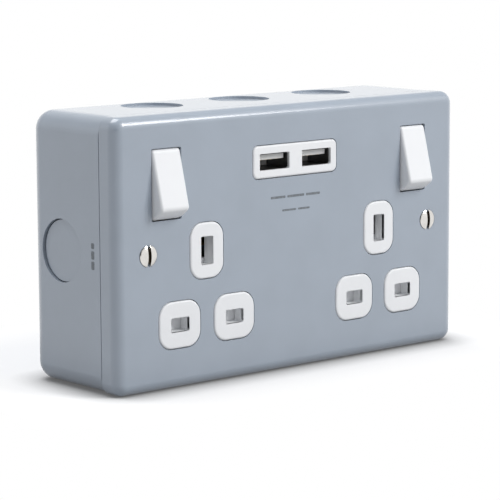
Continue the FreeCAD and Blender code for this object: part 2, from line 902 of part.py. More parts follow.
def make_earth_strap():
    """One brass pressing with both earth jaws, under the earth terminal between them. The strap is
    coined thinner between the leaves, where the tip of the long earth pin comes."""
    half = S.earth_strap_width / 2
    reach = socket_x + jaw_base()
    low = S.earth_z - half
    high = S.earth_z + half
    base = S.leaf_width / 2
    body = strap_body(
        "earth_strap",
        [
            (-reach, S.earth_z - base), (jaw_base() - socket_x, S.earth_z - base),
            (jaw_base() - socket_x, low), (socket_x - jaw_base(), low),
            (socket_x - jaw_base(), S.earth_z - base), (reach, S.earth_z - base),
            (reach, S.earth_z + base), (socket_x - jaw_base(), S.earth_z + base),
            (socket_x - jaw_base(), high), (jaw_base() - socket_x, high),
            (jaw_base() - socket_x, S.earth_z + base), (-reach, S.earth_z + base),
        ],
    )
    for name, side in SIDES.items():
        add_jaw(body, side * socket_x, S.earth_z, True, earth_leaf_out, name)
    relief = front_sketch(body, joint_out, "pin_relief_outline")
    for side in (-1, 1):
        add_centred_box(relief, side * socket_x, S.earth_z, S.leaf_gap, S.leaf_width)
    pocket(body, relief, S.pin_relief, "pin_relief")


def make_neutral_strap():
    """One brass pressing below the shutters, with both neutral jaws and the neutral terminal's tab."""
    half = S.strap_width / 2
    low = S.neutral_bus_z - half
    high = S.neutral_bus_z + half
    jaw = S.leaf_width / 2
    left = -socket_x - S.pin_spread
    right = socket_x - S.pin_spread
    top = line_z + jaw_base()
    tab = S.terminal_size / 2
    tab_top = S.neutral_terminal_z + tab
    body = strap_body(
        "neutral_strap",
        [
            (left - jaw, low), (right + jaw, low), (right + jaw, top), (right - jaw, top),
            (right - jaw, high), (S.neutral_terminal_x + tab, high),
            (S.neutral_terminal_x + tab, tab_top), (S.neutral_terminal_x - tab, tab_top),
            (S.neutral_terminal_x - tab, high), (left + jaw, high), (left + jaw, top),
            (left - jaw, top),
        ],
    )
    add_jaw(body, left, line_z, False, line_leaf_out, "left")
    add_jaw(body, right, line_z, False, line_leaf_out, "right")


def make_live_bus():
    """Brass busbar from the live terminal to a saddle under each switch arm."""
    half = S.strap_width / 2
    low = S.live_bus_z - half
    high = S.live_bus_z + half
    riser_in = live_riser_x - half
    riser_out = live_riser_x + half
    tab_end = rocker_x + S.arm_width / 2
    tab_low = rocker_z - S.saddle_reach
    tab_high = rocker_z + S.saddle_reach
    right = [
        (riser_out, low), (riser_out, tab_low), (tab_end, tab_low), (tab_end, tab_high),
        (riser_in, tab_high), (riser_in, high),
    ]
    left = [(-x, z) for x, z in reversed(right)]
    body = strap_body("live_bus", right + left)
    saddles = front_sketch(body, joint_out, "saddle_outline")
    for side in (-1, 1):
        add_centred_box(
            saddles, side * rocker_x, rocker_z, S.arm_width, 2 * S.saddle_reach
        )
    pad(body, saddles, S.saddle_height, "saddles")
    for name, side in SIDES.items():
        level = side * rocker_x + S.arm_width / 2
        bearing = sketch_on(body, "YZ_Plane", level, f"saddle_{name}_groove")
        add_circle(bearing, -arm_pivot_out, rocker_z, 2 * (S.arm_bead_radius + S.saddle_gap))
        pocket(body, bearing, S.arm_width, f"saddle_{name}")


def make_live_contact(name, side):
    """Brass pressing from the fixed pad behind the switch arm down to one live jaw."""
    half = S.strap_width / 2 - S.saddle_gap
    pad_in = side * rocker_x - side * S.arm_width / 2
    pad_low = rocker_z + S.rivet_offset - S.arm_width / 2
    pad_high = rocker_z + S.rivet_offset + S.arm_width / 2
    edge_out = side * (live_side_x + half)
    edge_in = side * (live_side_x - half)
    drop_out = side * (live_drop_x + half)
    drop_in = side * (live_drop_x - half)
    turn_low = S.live_turn_z - half
    turn_high = S.live_turn_z + half
    jaw_x = side * socket_x + S.pin_spread
    jaw_right = jaw_x + S.leaf_width / 2
    jaw_left = jaw_x - S.leaf_width / 2
    jaw_low = line_z - jaw_base()
    jaw_high = line_z + jaw_base()
    upper = [
        (pad_in, pad_high), (pad_in, pad_low), (edge_in, pad_low), (edge_in, turn_high),
        (drop_in, turn_high),
    ]
    if side < 0:
        cross_low = S.live_cross_z - half
        cross_high = S.live_cross_z + half
        lower = [
            (drop_in, cross_high), (jaw_right, cross_high), (jaw_right, jaw_low),
            (jaw_left, jaw_low), (jaw_left, cross_low), (drop_out, cross_low),
        ]
    else:
        lower = [
            (drop_in, jaw_high), (jaw_left, jaw_high), (jaw_left, jaw_low), (jaw_right, jaw_low),
            (jaw_right, jaw_high), (drop_out, jaw_high),
        ]
    body = strap_body(
        f"live_contact_{name}",
        upper + lower + [(drop_out, turn_low), (edge_out, turn_low), (edge_out, pad_high)],
    )
    add_jaw(body, jaw_x, line_z, False, line_leaf_out, "live")


def make_contact_arm(name, side):
    """See-saw switch arm: a blade with a half-round bead that rocks in its saddle and a contact
    rivet near its upper end. Drawn level about the bead's axis, then tipped to off."""
    body = body_of(f"contact_arm_{name}")
    blade = front_sketch(body, S.arm_bead_radius - S.arm_thick, "blade_outline")
    add_rounded_box(blade, 0, 0, S.arm_width, S.arm_length, S.arm_corner)
    pad(body, blade, S.arm_thick, "blade")
    bead = sketch_on(body, "YZ_Plane", -S.arm_width / 2, "bead_outline")
    add_circle(bead, 0, 0, 2 * S.arm_bead_radius)
    pad(body, bead, S.arm_width, "bead")
    rivet = front_sketch(body, S.arm_bead_radius - S.arm_thick, "rivet_outline")
    add_circle(rivet, 0, S.rivet_offset, 2 * S.rivet_radius)
    pad(body, rivet, S.rivet_height, "rivet", backwards=True)
    body.Placement.Rotation = FreeCAD.Rotation(FreeCAD.Vector(1, 0, 0), S.arm_tilt.value)
    bind(body, "Placement.Rotation.Angle", S.arm_tilt)
    place(body, side * rocker_x, arm_pivot_out, rocker_z)


def make_rocker(name, side):
    """White rocker: a flat face between two ends that are arcs about its axle, hollow behind, with a
    bored stem for the plunger. Drawn level about its axle, then tipped to off."""
    body = body_of(f"rocker_{name}")
    width = S.rocker_hole_width - 2 * S.rocker_side_gap
    half_face = root(S.rocker_swing * S.rocker_swing - S.rocker_face * S.rocker_face)
    half_skirt = root(S.rocker_swing * S.rocker_swing - S.rocker_skirt * S.rocker_skirt)
    profile = sketch_on(body, "YZ_Plane", -width / 2, "rocker_profile")
    circle = Part.Circle(vector(0, 0), vector(0, 0, 1), S.rocker_swing.value)
    face_angle = math.atan2(half_face.value, -S.rocker_face.value)
    skirt_angle = math.atan2(half_skirt.value, S.rocker_skirt.value)
    profile.addGeometry(
        [
            Part.ArcOfCircle(circle, skirt_angle, face_angle),
            Part.LineSegment(vector(-S.rocker_face, half_face), vector(-S.rocker_face, -half_face)),
            Part.ArcOfCircle(circle, -face_angle, -skirt_angle),
            Part.LineSegment(
                vector(S.rocker_skirt, -half_skirt), vector(S.rocker_skirt, half_skirt)
            ),
        ]
    )
    joins = [Sketcher.Constraint("Coincident", i, 2, (i + 1) % 4, 1) for i in range(4)]
    places = (
        point_rules(1, 1, -S.rocker_face, half_face)
        + point_rules(1, 2, -S.rocker_face, -half_face)
        + point_rules(3, 1, S.rocker_skirt, -half_skirt)
        + point_rules(3, 2, S.rocker_skirt, half_skirt)
        + [("Radius", (0,), S.rocker_swing), ("Radius", (2,), S.rocker_swing)]
    )
    add_rules(profile, joins, places)
    block = pad(body, profile, width, "rocker_block")
    round_edges(
        body, block, S.rocker_edge, "rocker_edges",
        lambda edge: lies_at_out(edge, S.rocker_face),
    )
    cavity = front_sketch(body, -S.rocker_skirt, "cavity_outline")
    add_centred_box(
        cavity, 0, 0, width - 2 * S.rocker_wall,
        2 * (half_face - S.rocker_wall),
    )
    pocket(body, cavity, S.rocker_skirt + S.rocker_face - S.rocker_wall, "cavity", forwards=True)
    stem = front_sketch(body, S.rocker_face - S.rocker_wall, "stem_outline")
    add_centred_box(stem, 0, 0, S.rocker_stem_width, S.rocker_stem_width)
    pad(
        body, stem, S.rocker_face - S.rocker_wall + S.rocker_stem_length, "stem", backwards=True
    )
    webs = front_sketch(body, S.rocker_face - S.rocker_wall, "web_outline")
    add_centred_box(webs, 0, 0, width - S.rocker_wall, S.rocker_wall * 2)
    pad(body, webs, S.rocker_face - S.rocker_wall + S.rocker_skirt, "webs", backwards=True)
    bore = front_sketch(body, -S.rocker_stem_length, "bore_outline")
    add_circle(bore, 0, 0, S.plunger_dia + 2 * S.plunger_gap)
    pocket(body, bore, bore_depth(), "bore", forwards=True)
    axle = sketch_on(body, "YZ_Plane", -width / 2 - S.axle_length, "axle_outline")
    add_circle(axle, 0, 0, S.axle_dia)
    pad(body, axle, S.axle_length + S.rocker_wall / 2, "axle_left")
    other = sketch_on(body, "YZ_Plane", width / 2 + S.axle_length, "other_axle_outline")
    add_circle(other, 0, 0, S.axle_dia)
    pad(body, other, S.axle_length + S.rocker_wall / 2, "axle_right", backwards=True)
    tip_off(body, side)


def bore_depth():
    """Depth of the bore for the plunger and its spring, from the stem's end."""
    return S.rocker_stem_length + S.rocker_face / 2


def nose_out():
    """Distance from the rocker's axle to the plunger's nose."""
    return pivot_out - arm_pivot_out - S.arm_bead_radius - S.nose_gap


def tip_off(body, side):
    """Turn what was drawn level about a rocker's axle to its place and to off."""
    body.Placement.Rotation = FreeCAD.Rotation(FreeCAD.Vector(-1, 0, 0), S.rocker_throw.value)
    bind(body, "Placement.Rotation.Angle", S.rocker_throw)
    place(body, side * rocker_x, pivot_out, rocker_z)


def make_plunger(name, side):
    """Plunger with a round nose, which slides in the rocker's stem."""
    body = body_of(f"plunger_{name}")
    profile = sketch_on(body, "XY_Plane", 0, "plunger_profile")
    radius = S.plunger_dia / 2
    nose = nose_out()
    shoulder = nose - radius
    tail = nose - S.plunger_length
    circle = Part.Circle(vector(0, shoulder), vector(0, 0, 1), radius.value)
    profile.addGeometry(
        [
            Part.ArcOfCircle(circle, 0, math.pi / 2),
            Part.LineSegment(vector(0, nose), vector(0, tail)),
            Part.LineSegment(vector(0, tail), vector(radius, tail)),
            Part.LineSegment(vector(radius, tail), vector(radius, shoulder)),
        ]
    )
    joins = [Sketcher.Constraint("Coincident", i, 2, (i + 1) % 4, 1) for i in range(4)]
    places = (
        point_rules(0, 1, radius, shoulder)
        + point_rules(1, 1, 0, nose)
        + point_rules(2, 1, 0, tail)
        + point_rules(3, 1, radius, tail)
        + [("Radius", (0,), radius)]
    )
    add_rules(profile, joins, places)
    revolve(body, profile, "plunger_turned")
    tip_off(body, side)


TURN_RUNS = 10
WIRE_SIDES = 6


def coil(radius, wire, length, turns):
    """A spring's wire along +Z from the origin: a six-sided wire on a helix of short runs."""
    steps = TURN_RUNS * turns
    rise = (length - wire) / steps
    points = []
    for step in range(steps + 1):
        angle = 2 * math.pi * step / TURN_RUNS
        points.append(
            FreeCAD.Vector(radius * math.cos(angle), radius * math.sin(angle), wire / 2 + rise * step)
        )
    path = Part.makePolygon(points)
    along = points[1] - points[0]
    ring = Part.Circle(points[0], along, wire / 2)
    corners = [ring.value(2 * math.pi * i / WIRE_SIDES) for i in range(WIRE_SIDES)]
    section = Part.makePolygon(corners + corners[:1])
    return path.makePipeShell([section], True, False, 1)


def spring_feature(label, radius, length, turns, placement):
    """Keep a spring as a part of the document."""
    spring = doc.addObject("Part::Feature", label)
    spring.Label = label
    shape = coil(radius, S.wire_dia.value, length, turns)
    if shape.ShapeType != "Solid":
        shape = Part.Solid(shape) if shape.ShapeType == "Shell" else shape.Solids[0]
    spring.Shape = shape
    spring.Placement = placement
    return spring


def make_plunger_spring(name, side):
    """Spring between the plunger's tail and the end of its bore."""
    tail = (nose_out() - S.plunger_length).value
    end = (S.rocker_stem_length - bore_depth()).value
    gap = S.fit_gap.value
    tilt = FreeCAD.Rotation(FreeCAD.Vector(-1, 0, 0), S.rocker_throw.value)
    along = FreeCAD.Rotation(FreeCAD.Vector(1, 0, 0), -90)
    pivot = vector(side * rocker_x, -pivot_out, rocker_z)
    start = pivot + tilt.multVec(FreeCAD.Vector(0, end + gap, 0))
    radius = (S.plunger_spring_dia - S.wire_dia).value / 2
    spring_feature(
        f"plunger_spring_{name}", radius, tail - end - 2 * gap, int(S.plunger_spring_turns.value),
        FreeCAD.Placement(start, tilt.multiply(along)),
    )


def make_shutter(name, side):
    """White shutter behind one socket's apertures: it covers the two line apertures, and its ramp
    under the earth aperture drives it down until its windows meet them."""
    body = body_of(f"shutter_{name}")
    bottom = line_z - S.line_slot_height / 2 - S.shutter_bar - S.fit_gap
    window_z = line_z + S.shutter_travel
    top = window_z + S.line_slot_height / 2 + S.shutter_bar
    half = S.shutter_half_width
    neck = S.shutter_neck / 2
    ramp_top = S.ramp_top
    plate = front_sketch(body, shutter_back, "shutter_outline")
    add_polygon(
        plate,
        [
            (-half, bottom), (half, bottom), (half, top), (neck, top), (neck, ramp_top - neck),
            (-neck, ramp_top - neck), (-neck, top), (-half, top),
        ],
    )
    pad(body, plate, S.shutter_thick, "shutter_plate")
    ramp = sketch_on(body, "YZ_Plane", -S.ramp_width / 2, "ramp_profile")
    front = -shutter_front
    back = -(shutter_front - S.ramp_depth)
    foot = ramp_top - S.ramp_depth
    root_z = foot - S.shutter_neck
    add_polygon(
        ramp,
        [(front, root_z), (back, root_z), (back, ramp_top), (front, foot)],
    )
    pad(body, ramp, S.ramp_width, "ramp")
    windows = front_sketch(body, shutter_front, "window_outline")
    for pin in (-1, 1):
        add_centred_box(
            windows, pin * S.pin_spread, window_z, S.line_slot_width, S.line_slot_height
        )
    slot_low = line_z - S.line_slot_height / 2 - S.spring_peg / 2 - S.fit_gap
    add_box(
        windows, -S.spring_slot_width / 2, slot_low, S.spring_slot_width / 2,
        slot_low + S.spring_slot_length,
    )
    pocket(body, windows, S.shutter_thick, "windows")
    bind(body, "Placement.Base.x", side * socket_x)


def make_shutter_spring(name, side):
    """Spring in the shutter's slot, between the moulding's peg and the slot's top."""
    peg_top = (line_z - S.line_slot_height / 2 + S.spring_peg / 2).value
    slot_low = (line_z - S.line_slot_height / 2 - S.spring_peg / 2 - S.fit_gap).value
    length = slot_low + S.spring_slot_length.value - peg_top - 2 * S.fit_gap.value
    level = (shutter_front + shutter_back).value / 2
    radius = (S.shutter_spring_dia - S.wire_dia).value / 2
    start = FreeCAD.Vector((side * socket_x).value, -level, peg_top + S.fit_gap.value)
    spring_feature(
        f"shutter_spring_{name}", radius, length, int(S.shutter_spring_turns.value),
        FreeCAD.Placement(start, FreeCAD.Rotation()),
    )


def make_terminal(label, x, z, foot_out, towards_wall):
    """Brass terminal block: a cable bore along Z and a screw hole from its free end."""
    body = body_of(label)
    block = front_sketch(body, foot_out, "block_outline")
    add_centred_box(block, x, z, S.terminal_size, S.terminal_size)
    pad(body, block, S.terminal_depth, "block", backwards=towards_wall)
    step = -1 if towards_wall else 1
    free_out = foot_out + step * S.terminal_depth
    bore_out = foot_out + step * S.terminal_bore_depth
    bore = sketch_on(body, "XY_Plane", z + S.terminal_size / 2, "bore_outline")
    add_circle(bore, x, -bore_out, S.terminal_bore)
    pocket(body, bore, S.terminal_size, "cable_bore")
    hole = front_sketch(body, free_out, "screw_hole_outline")
    add_circle(hole, x, z, S.terminal_screw_dia + 2 * S.thread_gap)
    pocket(
        body, hole, S.terminal_depth - S.terminal_bore_depth, "screw_hole", forwards=towards_wall
    )


def make_terminal_screw(label, x, z, foot_out, towards_wall):
    """Slotted screw of a terminal block, run in until its tip stands in the cable bore."""
    body = body_of(label)
    step = -1 if towards_wall else 1
    free_out = foot_out + step * S.terminal_depth
    shank = front_sketch(body, free_out, "shank_outline")
    add_circle(shank, x, z, S.terminal_screw_dia)
    pad(
        body, shank, S.terminal_depth - S.terminal_bore_depth, "shank",
        backwards=not towards_wall,
    )
    head = front_sketch(body, free_out, "head_outline")
    add_circle(head, x, z, S.terminal_head_dia)
    pad(body, head, S.terminal_head_height, "head", backwards=towards_wall)
    slot = front_sketch(body, free_out + step * S.terminal_head_height, "slot_outline")
    add_centred_box(slot, x, z, S.terminal_head_dia, S.screw_slot_width)
    pocket(body, slot, S.terminal_head_height / 2, "slot", forwards=towards_wall)


def make_terminals():
    """Three blocks on the straps and one in the box, each with its screw."""
    names = ("live", "neutral", "earth")
    for name, (x, z) in zip(names, terminals()):
        make_terminal(f"terminal_{name}", x, z, base_front, True)
        make_terminal_screw(f"terminal_screw_{name}", x, z, base_front, True)
    corner_x = half_length - S.box_terminal_inset_x
    corner_z = S.box_terminal_inset_z - half_height
    spot = (corner_x, corner_z, S.box_sheet, False)
    make_terminal("box_earth_terminal", *spot)
    make_terminal_screw("box_earth_screw", *spot)


board_out = island_out - S.port_lip - S.shell_length
usb_lid_front = usb_back_out + S.usb_wall


def make_usb_housing():
    """White housing of the charging module: the island round both ports and a shell behind it."""
    body = body_of("usb_housing")
    outline = front_sketch(body, usb_lid_front, "housing_outline")
    add_centred_box(outline, 0, usb_z, S.usb_width, S.usb_height)
    pad(body, outline, wall_back - usb_lid_front, "housing_block")
    island = front_sketch(body, wall_back, "port_island_outline")
    add_rounded_box(
        island, 0, usb_z, S.usb_island_width, S.usb_island_height, S.usb_island_corner
    )
    raised = pad(body, island, island_out - wall_back, "port_island")
    round_edges(body, raised, S.island_edge, "port_island_edge", lambda edge: lies_at_out(edge, island_out))
    inside = front_sketch(body, usb_lid_front, "housing_inside")
    add_centred_box(
        inside, 0, usb_z, S.usb_width - 2 * S.usb_wall, S.usb_height - 2 * S.usb_wall
    )
    pocket(
        body, inside, wall_back - S.usb_wall - usb_lid_front, "housing_cavity", forwards=True
    )
    shells = front_sketch(body, usb_lid_front, "shell_seat_outline")
    windows = front_sketch(body, island_out, "port_outline")
    seat = 2 * (S.shell_wall + S.fit_gap)
    for side in (-1, 1):
        x = side * S.port_spread
        add_centred_box(shells, x, usb_z, S.port_width + seat, S.port_height + seat)
        add_centred_box(windows, x, usb_z, S.port_width, S.port_height)
    pocket(
        body, shells, island_out - S.port_lip - usb_lid_front, "shell_seats", forwards=True
    )
    pocket(body, windows, S.port_lip, "port_windows")


def make_usb_back_cover():
    """Lid that closes the charging module from behind."""
    body = body_of("usb_back_cover")
    outline = front_sketch(body, usb_back_out, "lid_outline")
    add_centred_box(outline, 0, usb_z, S.usb_width, S.usb_height)
    pad(body, outline, S.usb_wall, "lid")
    rim = front_sketch(body, usb_lid_front, "lid_rim_outline")
    fit = 2 * (S.usb_wall + S.fit_gap)
    add_centred_box(rim, 0, usb_z, S.usb_width - fit, S.usb_height - fit)
    pad(body, rim, S.usb_wall / 2, "lid_rim")


def make_usb_board():
    """Circuit board behind the ports."""
    body = body_of("usb_board")
    outline = front_sketch(body, board_out, "board_outline")
    fit = 2 * (S.usb_wall + S.fit_gap)
    add_centred_box(outline, 0, usb_z, S.usb_width - fit, S.usb_height - fit)
    pad(body, outline, S.board_thick, "board", backwards=True)


def make_usb_port(name, side):
    """One port: a folded metal shell, a white tongue and the four contacts under the tongue."""
    x = side * S.port_spread
    shell = body_of(f"usb_shell_{name}")
    outline = front_sketch(shell, board_out, "shell_outline")
    wall = 2 * S.shell_wall
    add_centred_box(outline, x, usb_z, S.port_width + wall, S.port_height + wall)
    add_centred_box(outline, x, usb_z, S.port_width, S.port_height)
    pad(shell, outline, S.shell_length, "shell")

    tongue = body_of(f"usb_tongue_{name}")
    base = front_sketch(tongue, board_out, "base_outline")
    fit = 2 * S.fit_gap
    add_centred_box(base, x, usb_z, S.port_width - fit, S.port_height - fit)
    pad(tongue, base, S.tongue_base, "base")
    blade = front_sketch(tongue, board_out, "tongue_outline")
    add_centred_box(blade, x, usb_z + S.tongue_rise, S.tongue_width, S.tongue_thick)
    pad(tongue, blade, S.shell_length - S.tongue_inset, "tongue")

    contacts = body_of(f"usb_contacts_{name}")
    strips = front_sketch(contacts, board_out + S.tongue_base, "contact_outline")
    under = usb_z + S.tongue_rise - (S.tongue_thick + S.contact_thick) / 2
    for spot in (S.contact_inner, S.contact_outer):
        for edge in (-1, 1):
            add_centred_box(strips, x + edge * spot, under, S.contact_width, S.contact_thick)
    pad(contacts, strips, S.contact_length - S.tongue_inset, "strips").AllowMultiFace = True


def make_usb_parts():
    """Transformer and smoothing capacitors on the back of the board."""
    back = board_out - S.board_thick
    transformer = body_of("usb_transformer")
    core = front_sketch(transformer, back, "core_outline")
    add_centred_box(core, 0, usb_z, S.transformer_size, S.transformer_size)
    pad(transformer, core, S.transformer_depth, "core", backwards=True)
    window = sketch_on(
        transformer, "YZ_Plane", S.transformer_size / 2, "winding_outline"
    )
    middle = S.transformer_depth / 2 - back
    for edge in (-1, 1):
        add_centred_box(
            window, middle, usb_z + edge * S.core_window_rise, S.transformer_depth / 2,
            S.core_window_height,
        )
    pocket(transformer, window, S.transformer_size, "core_windows")

    capacitors = body_of("usb_capacitors")
    cans = front_sketch(capacitors, back, "can_outline")
    for side in (-1, 1):
        add_circle(cans, side * S.capacitor_pitch / 2, usb_z, S.capacitor_dia)
    pad(capacitors, cans, S.capacitor_height, "cans", backwards=True).AllowMultiFace = True


def build():
    """Make every sub-part."""
    make_cover_plate()
    make_back_box()
    make_front_moulding()
    make_rear_moulding()
    make_assembly_screws()
    make_earth_strap()
    make_neutral_strap()
    make_live_bus()
    make_terminals()
    make_usb_housing()
    make_usb_back_cover()
    make_usb_board()
    make_usb_parts()
    for name, side in SIDES.items():
        make_box_lug(name, side)
        make_fixing_screw(name, side)
        make_live_contact(name, side)
        make_contact_arm(name, side)
        make_rocker(name, side)
        make_plunger(name, side)
        make_plunger_spring(name, side)
        make_shutter(name, side)
        make_shutter_spring(name, side)
        make_usb_port(name, side)
    doc.recompute()


def subparts():
    """The objects that are sub-parts: every body, and every feature that is in no body."""
    return [
        item
        for item in doc.Objects
        if item.TypeId == "PartDesign::Body"
        or (item.TypeId == "Part::Feature" and item.getParentGeoFeatureGroup() is None)
    ]


CHANGES = {
    "PartDesign::Pad": 1,
    "PartDesign::Revolution": 1,
    "PartDesign::Pocket": -1,
    "PartDesign::SubtractiveCone": -1,
}


def check():
    """Stop if an object failed, if a cut or pad did nothing, or if a sub-part's shape is bad."""
    faults = []
    for item in doc.Objects:
        if "Invalid" in item.State or "Error" in item.State:
            faults.append(f"{item.Label}: {item.State}")
        base = getattr(item, "BaseFeature", None)
        if base is None or item.TypeId not in CHANGES or item.Shape.isNull() or base.Shape.isNull():
            continue
        grown = item.Shape.Volume - base.Shape.Volume
        if grown * CHANGES[item.TypeId] <= 1e-6:
            faults.append(f"{item.Name} changes nothing: {grown:.4f}")
    for item in subparts():
        if item.Shape.isNull() or not item.Shape.isValid():
            faults.append(f"{item.Label}: bad shape")
    if faults:
        raise RuntimeError("; ".join(faults))


def write():
    """Write each sub-part to its own file."""
    os.makedirs("parts", exist_ok=True)
    for item in subparts():
        item.Shape.exportStep(os.path.join("parts", f"{item.Label}.step"))
        print(f"{item.Label:22s} solids {len(item.Shape.Solids)} volume {item.Shape.Volume:9.1f}")


build()
check()
write()
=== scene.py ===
# %% [markdown]
# # A metal-clad double wall socket with USB ports
# The object is a shallow steel box that is screwed to a wall. A steel cover closes it, and white
# mouldings stand out through holes in the cover: two rocker switches, six islands round the plug
# pins, and one island round two USB ports. This lesson dresses a measured CAD model of it for a
# picture. The steel shells, islands, rockers and screws are modelled again with bmesh operators,
# because they are what the camera sees. The springs are copied. All other works keep their CAD
# shapes and get a finish only.
#
# The CAD frame has its origin at the middle of the wall face, X to the right, Z up, and the front
# looks along minus Y. Blender counts in metres and a workshop in millimetres, so one value turns
# the second into the first.

# %% The CAD frame
import math
import bmesh
import bpy
from mathutils import Matrix, Vector


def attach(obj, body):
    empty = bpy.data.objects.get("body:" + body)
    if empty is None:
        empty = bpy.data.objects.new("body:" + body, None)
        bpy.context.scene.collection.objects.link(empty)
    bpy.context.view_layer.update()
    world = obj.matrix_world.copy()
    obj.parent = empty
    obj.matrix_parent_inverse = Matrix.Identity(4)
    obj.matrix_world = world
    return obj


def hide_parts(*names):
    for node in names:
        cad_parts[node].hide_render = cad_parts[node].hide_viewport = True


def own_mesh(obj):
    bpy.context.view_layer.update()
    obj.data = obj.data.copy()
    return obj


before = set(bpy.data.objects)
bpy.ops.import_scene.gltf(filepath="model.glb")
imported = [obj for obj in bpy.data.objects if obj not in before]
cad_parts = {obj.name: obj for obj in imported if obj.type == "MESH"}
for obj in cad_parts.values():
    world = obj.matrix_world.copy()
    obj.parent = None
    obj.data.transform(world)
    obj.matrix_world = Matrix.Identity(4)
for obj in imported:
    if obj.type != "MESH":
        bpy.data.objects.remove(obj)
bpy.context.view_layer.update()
MM = 0.001

# %% [markdown]
# ## The camera
# The photograph was taken from the left and a little above with a long lens, so upright edges stay
# nearly parallel. The camera's place was found from lengths that are standard on such a socket:
# the distances between the plug pins and between the two screws. A `Matrix` built from where the
# camera stands and what it looks at is easier to check than three angles.

# %% The camera
EYE = Vector((-493.9, -592.7, 108.1)) * MM
AIM = Vector((-4.64, -27.0, -5.68)) * MM
CAMERA_ROLL = math.radians(-0.28)
LENS, NEAREST = 166.5, 0.01

camera_data = bpy.data.cameras.new("photo_camera")
camera_data.lens = LENS
camera_data.clip_start = NEAREST
camera = bpy.data.objects.new("photo_camera", camera_data)
bpy.context.scene.collection.objects.link(camera)
turn = (AIM - EYE).to_track_quat("-Z", "Y").to_matrix().to_4x4()
camera.matrix_world = Matrix.Translation(EYE) @ turn @ Matrix.Rotation(CAMERA_ROLL, 4, "Z")
bpy.context.scene.camera = camera
print("camera to middle of the front: %.0f mm" % ((AIM - EYE).length / MM))

# %% [markdown]
# ## Node graphs
# The room and every finish are graphs of nodes. They could be drawn by hand in the shader editor,
# but a graph that is written down can be read, changed and built again. One helper adds a node and
# sets or wires its inputs, and another does sums. The third tells the rays that look at the room,
# from the camera or by way of gloss or glass, from those that only gather its light.

# %% Node helpers
def node_tree(owner):
    """Empty node tree of a material or world."""
    owner.use_nodes = True
    owner.node_tree.nodes.clear()
    return owner.node_tree


def add_node(tree, kind, *given, **named):
    """Add a node. What is given goes to its inputs in their order, what is named to the input or
    the property of that name. A socket is wired to its input, and a value is set there."""
    node = tree.nodes.new(kind)
    wanted = list(zip(node.inputs, given))
    for key, value in named.items():
        label = key.replace("_", " ")
        if label in node.inputs:
            wanted.append((node.inputs[label], value))
        else:
            setattr(node, key, value)
    for socket, value in wanted:
        if isinstance(value, bpy.types.NodeSocket):
            tree.links.new(value, socket)
        else:
            socket.default_value = value
    return node


def maths(tree, operation, *given, **named):
    """Result of a sum with sockets or numbers."""
    return add_node(tree, "ShaderNodeMath", *given, operation=operation, **named).outputs[0]


def seen_directly(tree):
    """One where a ray comes from the camera, a reflection or glass, and nought elsewhere."""
    path = add_node(tree, "ShaderNodeLightPath").outputs
    total = path["Is Camera Ray"]
    for name in ("Is Glossy Ray", "Is Transmission Ray"):
        total = maths(tree, "ADD", total, path[name], use_clamp=True)
    return total


# %% [markdown]
# ## A white room
# The world is white at eye level for the camera and for reflections, dim overhead as a studio's
# ceiling is, and a soft grey for the light that it casts. The dim part is what gives gloss and
# metal their contrast. A photographer also stands a dark card where an edge should reflect it.
# Here it is a patch of the world that only reflections see, and it draws the dark band down the
# rounding between the side and the front. Its place is a direction, and the dot product with the
# direction of a ray says how near the ray comes to it.

# %% The world
WHITE = (1, 1, 1, 1)
AMBIENT, AMBIENT_COLOUR = 0.5, (0.93, 0.95, 1.0, 1)
CEILING, CEILING_STARTS, CEILING_FULL = 0.35, 0.3, 0.6
CARD_GREY, CARD_TOWARDS = 0.05, (-0.66, -0.74, 0.13)
CARD_STARTS, CARD_FULL = 0.82, 0.95

world = bpy.data.worlds.new("white_room")
bpy.context.scene.world = world
tree = node_tree(world)
direction = add_node(tree, "ShaderNodeTexCoord").outputs["Generated"]
height = add_node(tree, "ShaderNodeSeparateXYZ", direction).outputs["Z"]
room = add_node(tree, "ShaderNodeMapRange", Value=height, From_Min=CEILING_STARTS,
                From_Max=CEILING_FULL, To_Min=1.0, To_Max=CEILING).outputs[0]
nearness = add_node(tree, "ShaderNodeVectorMath", direction, CARD_TOWARDS,
                    operation="DOT_PRODUCT").outputs["Value"]
card = add_node(tree, "ShaderNodeMapRange", Value=nearness, From_Min=CARD_STARTS,
                From_Max=CARD_FULL).outputs[0]
reflected = add_node(tree, "ShaderNodeLightPath").outputs["Is Glossy Ray"]
room = add_node(tree, "ShaderNodeMapRange", Value=maths(tree, "MULTIPLY", card, reflected),
                To_Min=room, To_Max=CARD_GREY).outputs[0]
cast = add_node(tree, "ShaderNodeBackground", Color=AMBIENT_COLOUR, Strength=AMBIENT)
seen = add_node(tree, "ShaderNodeBackground", Color=WHITE, Strength=room)
mix = add_node(tree, "ShaderNodeMixShader", seen_directly(tree), cast.outputs[0], seen.outputs[0])
add_node(tree, "ShaderNodeOutputWorld", mix.outputs[0])
print("world: casts %.2f, shows 1.00 at eye level and %.2f overhead" % (AMBIENT, CEILING))

# %% [markdown]
# ## White paper
# The object stands on white paper. Near it the paper is lit by the lamps alone, so that it takes
# the soft shadow of the edges. Further off it turns into a plain white glow for the camera and for
# reflections, because no lamp reaches that far. How far off a point lies is reckoned from its
# coordinates: their sizes, less as far as the object reaches, and nought at the least. Where the
# object touches the paper a photograph shows a thin dark line. An Ambient Occlusion node draws it,
# for the camera only, so that it doesn't blacken the object's lower edges. The paper throws back
# less light than it seems to, which keeps the undersides in shade.

# %% The paper
PAPER, PAPER_BOUNCE, PAPER_CREVICE = 0.95, 0.42, 0.2
CONTACT, CREVICE_FULL = 12 * MM, 0.3
FOOTPRINT = (0.073, 0.044, 0.043)
GLOW_REACH, GLOW_NEAR = 36 * MM, 0.1

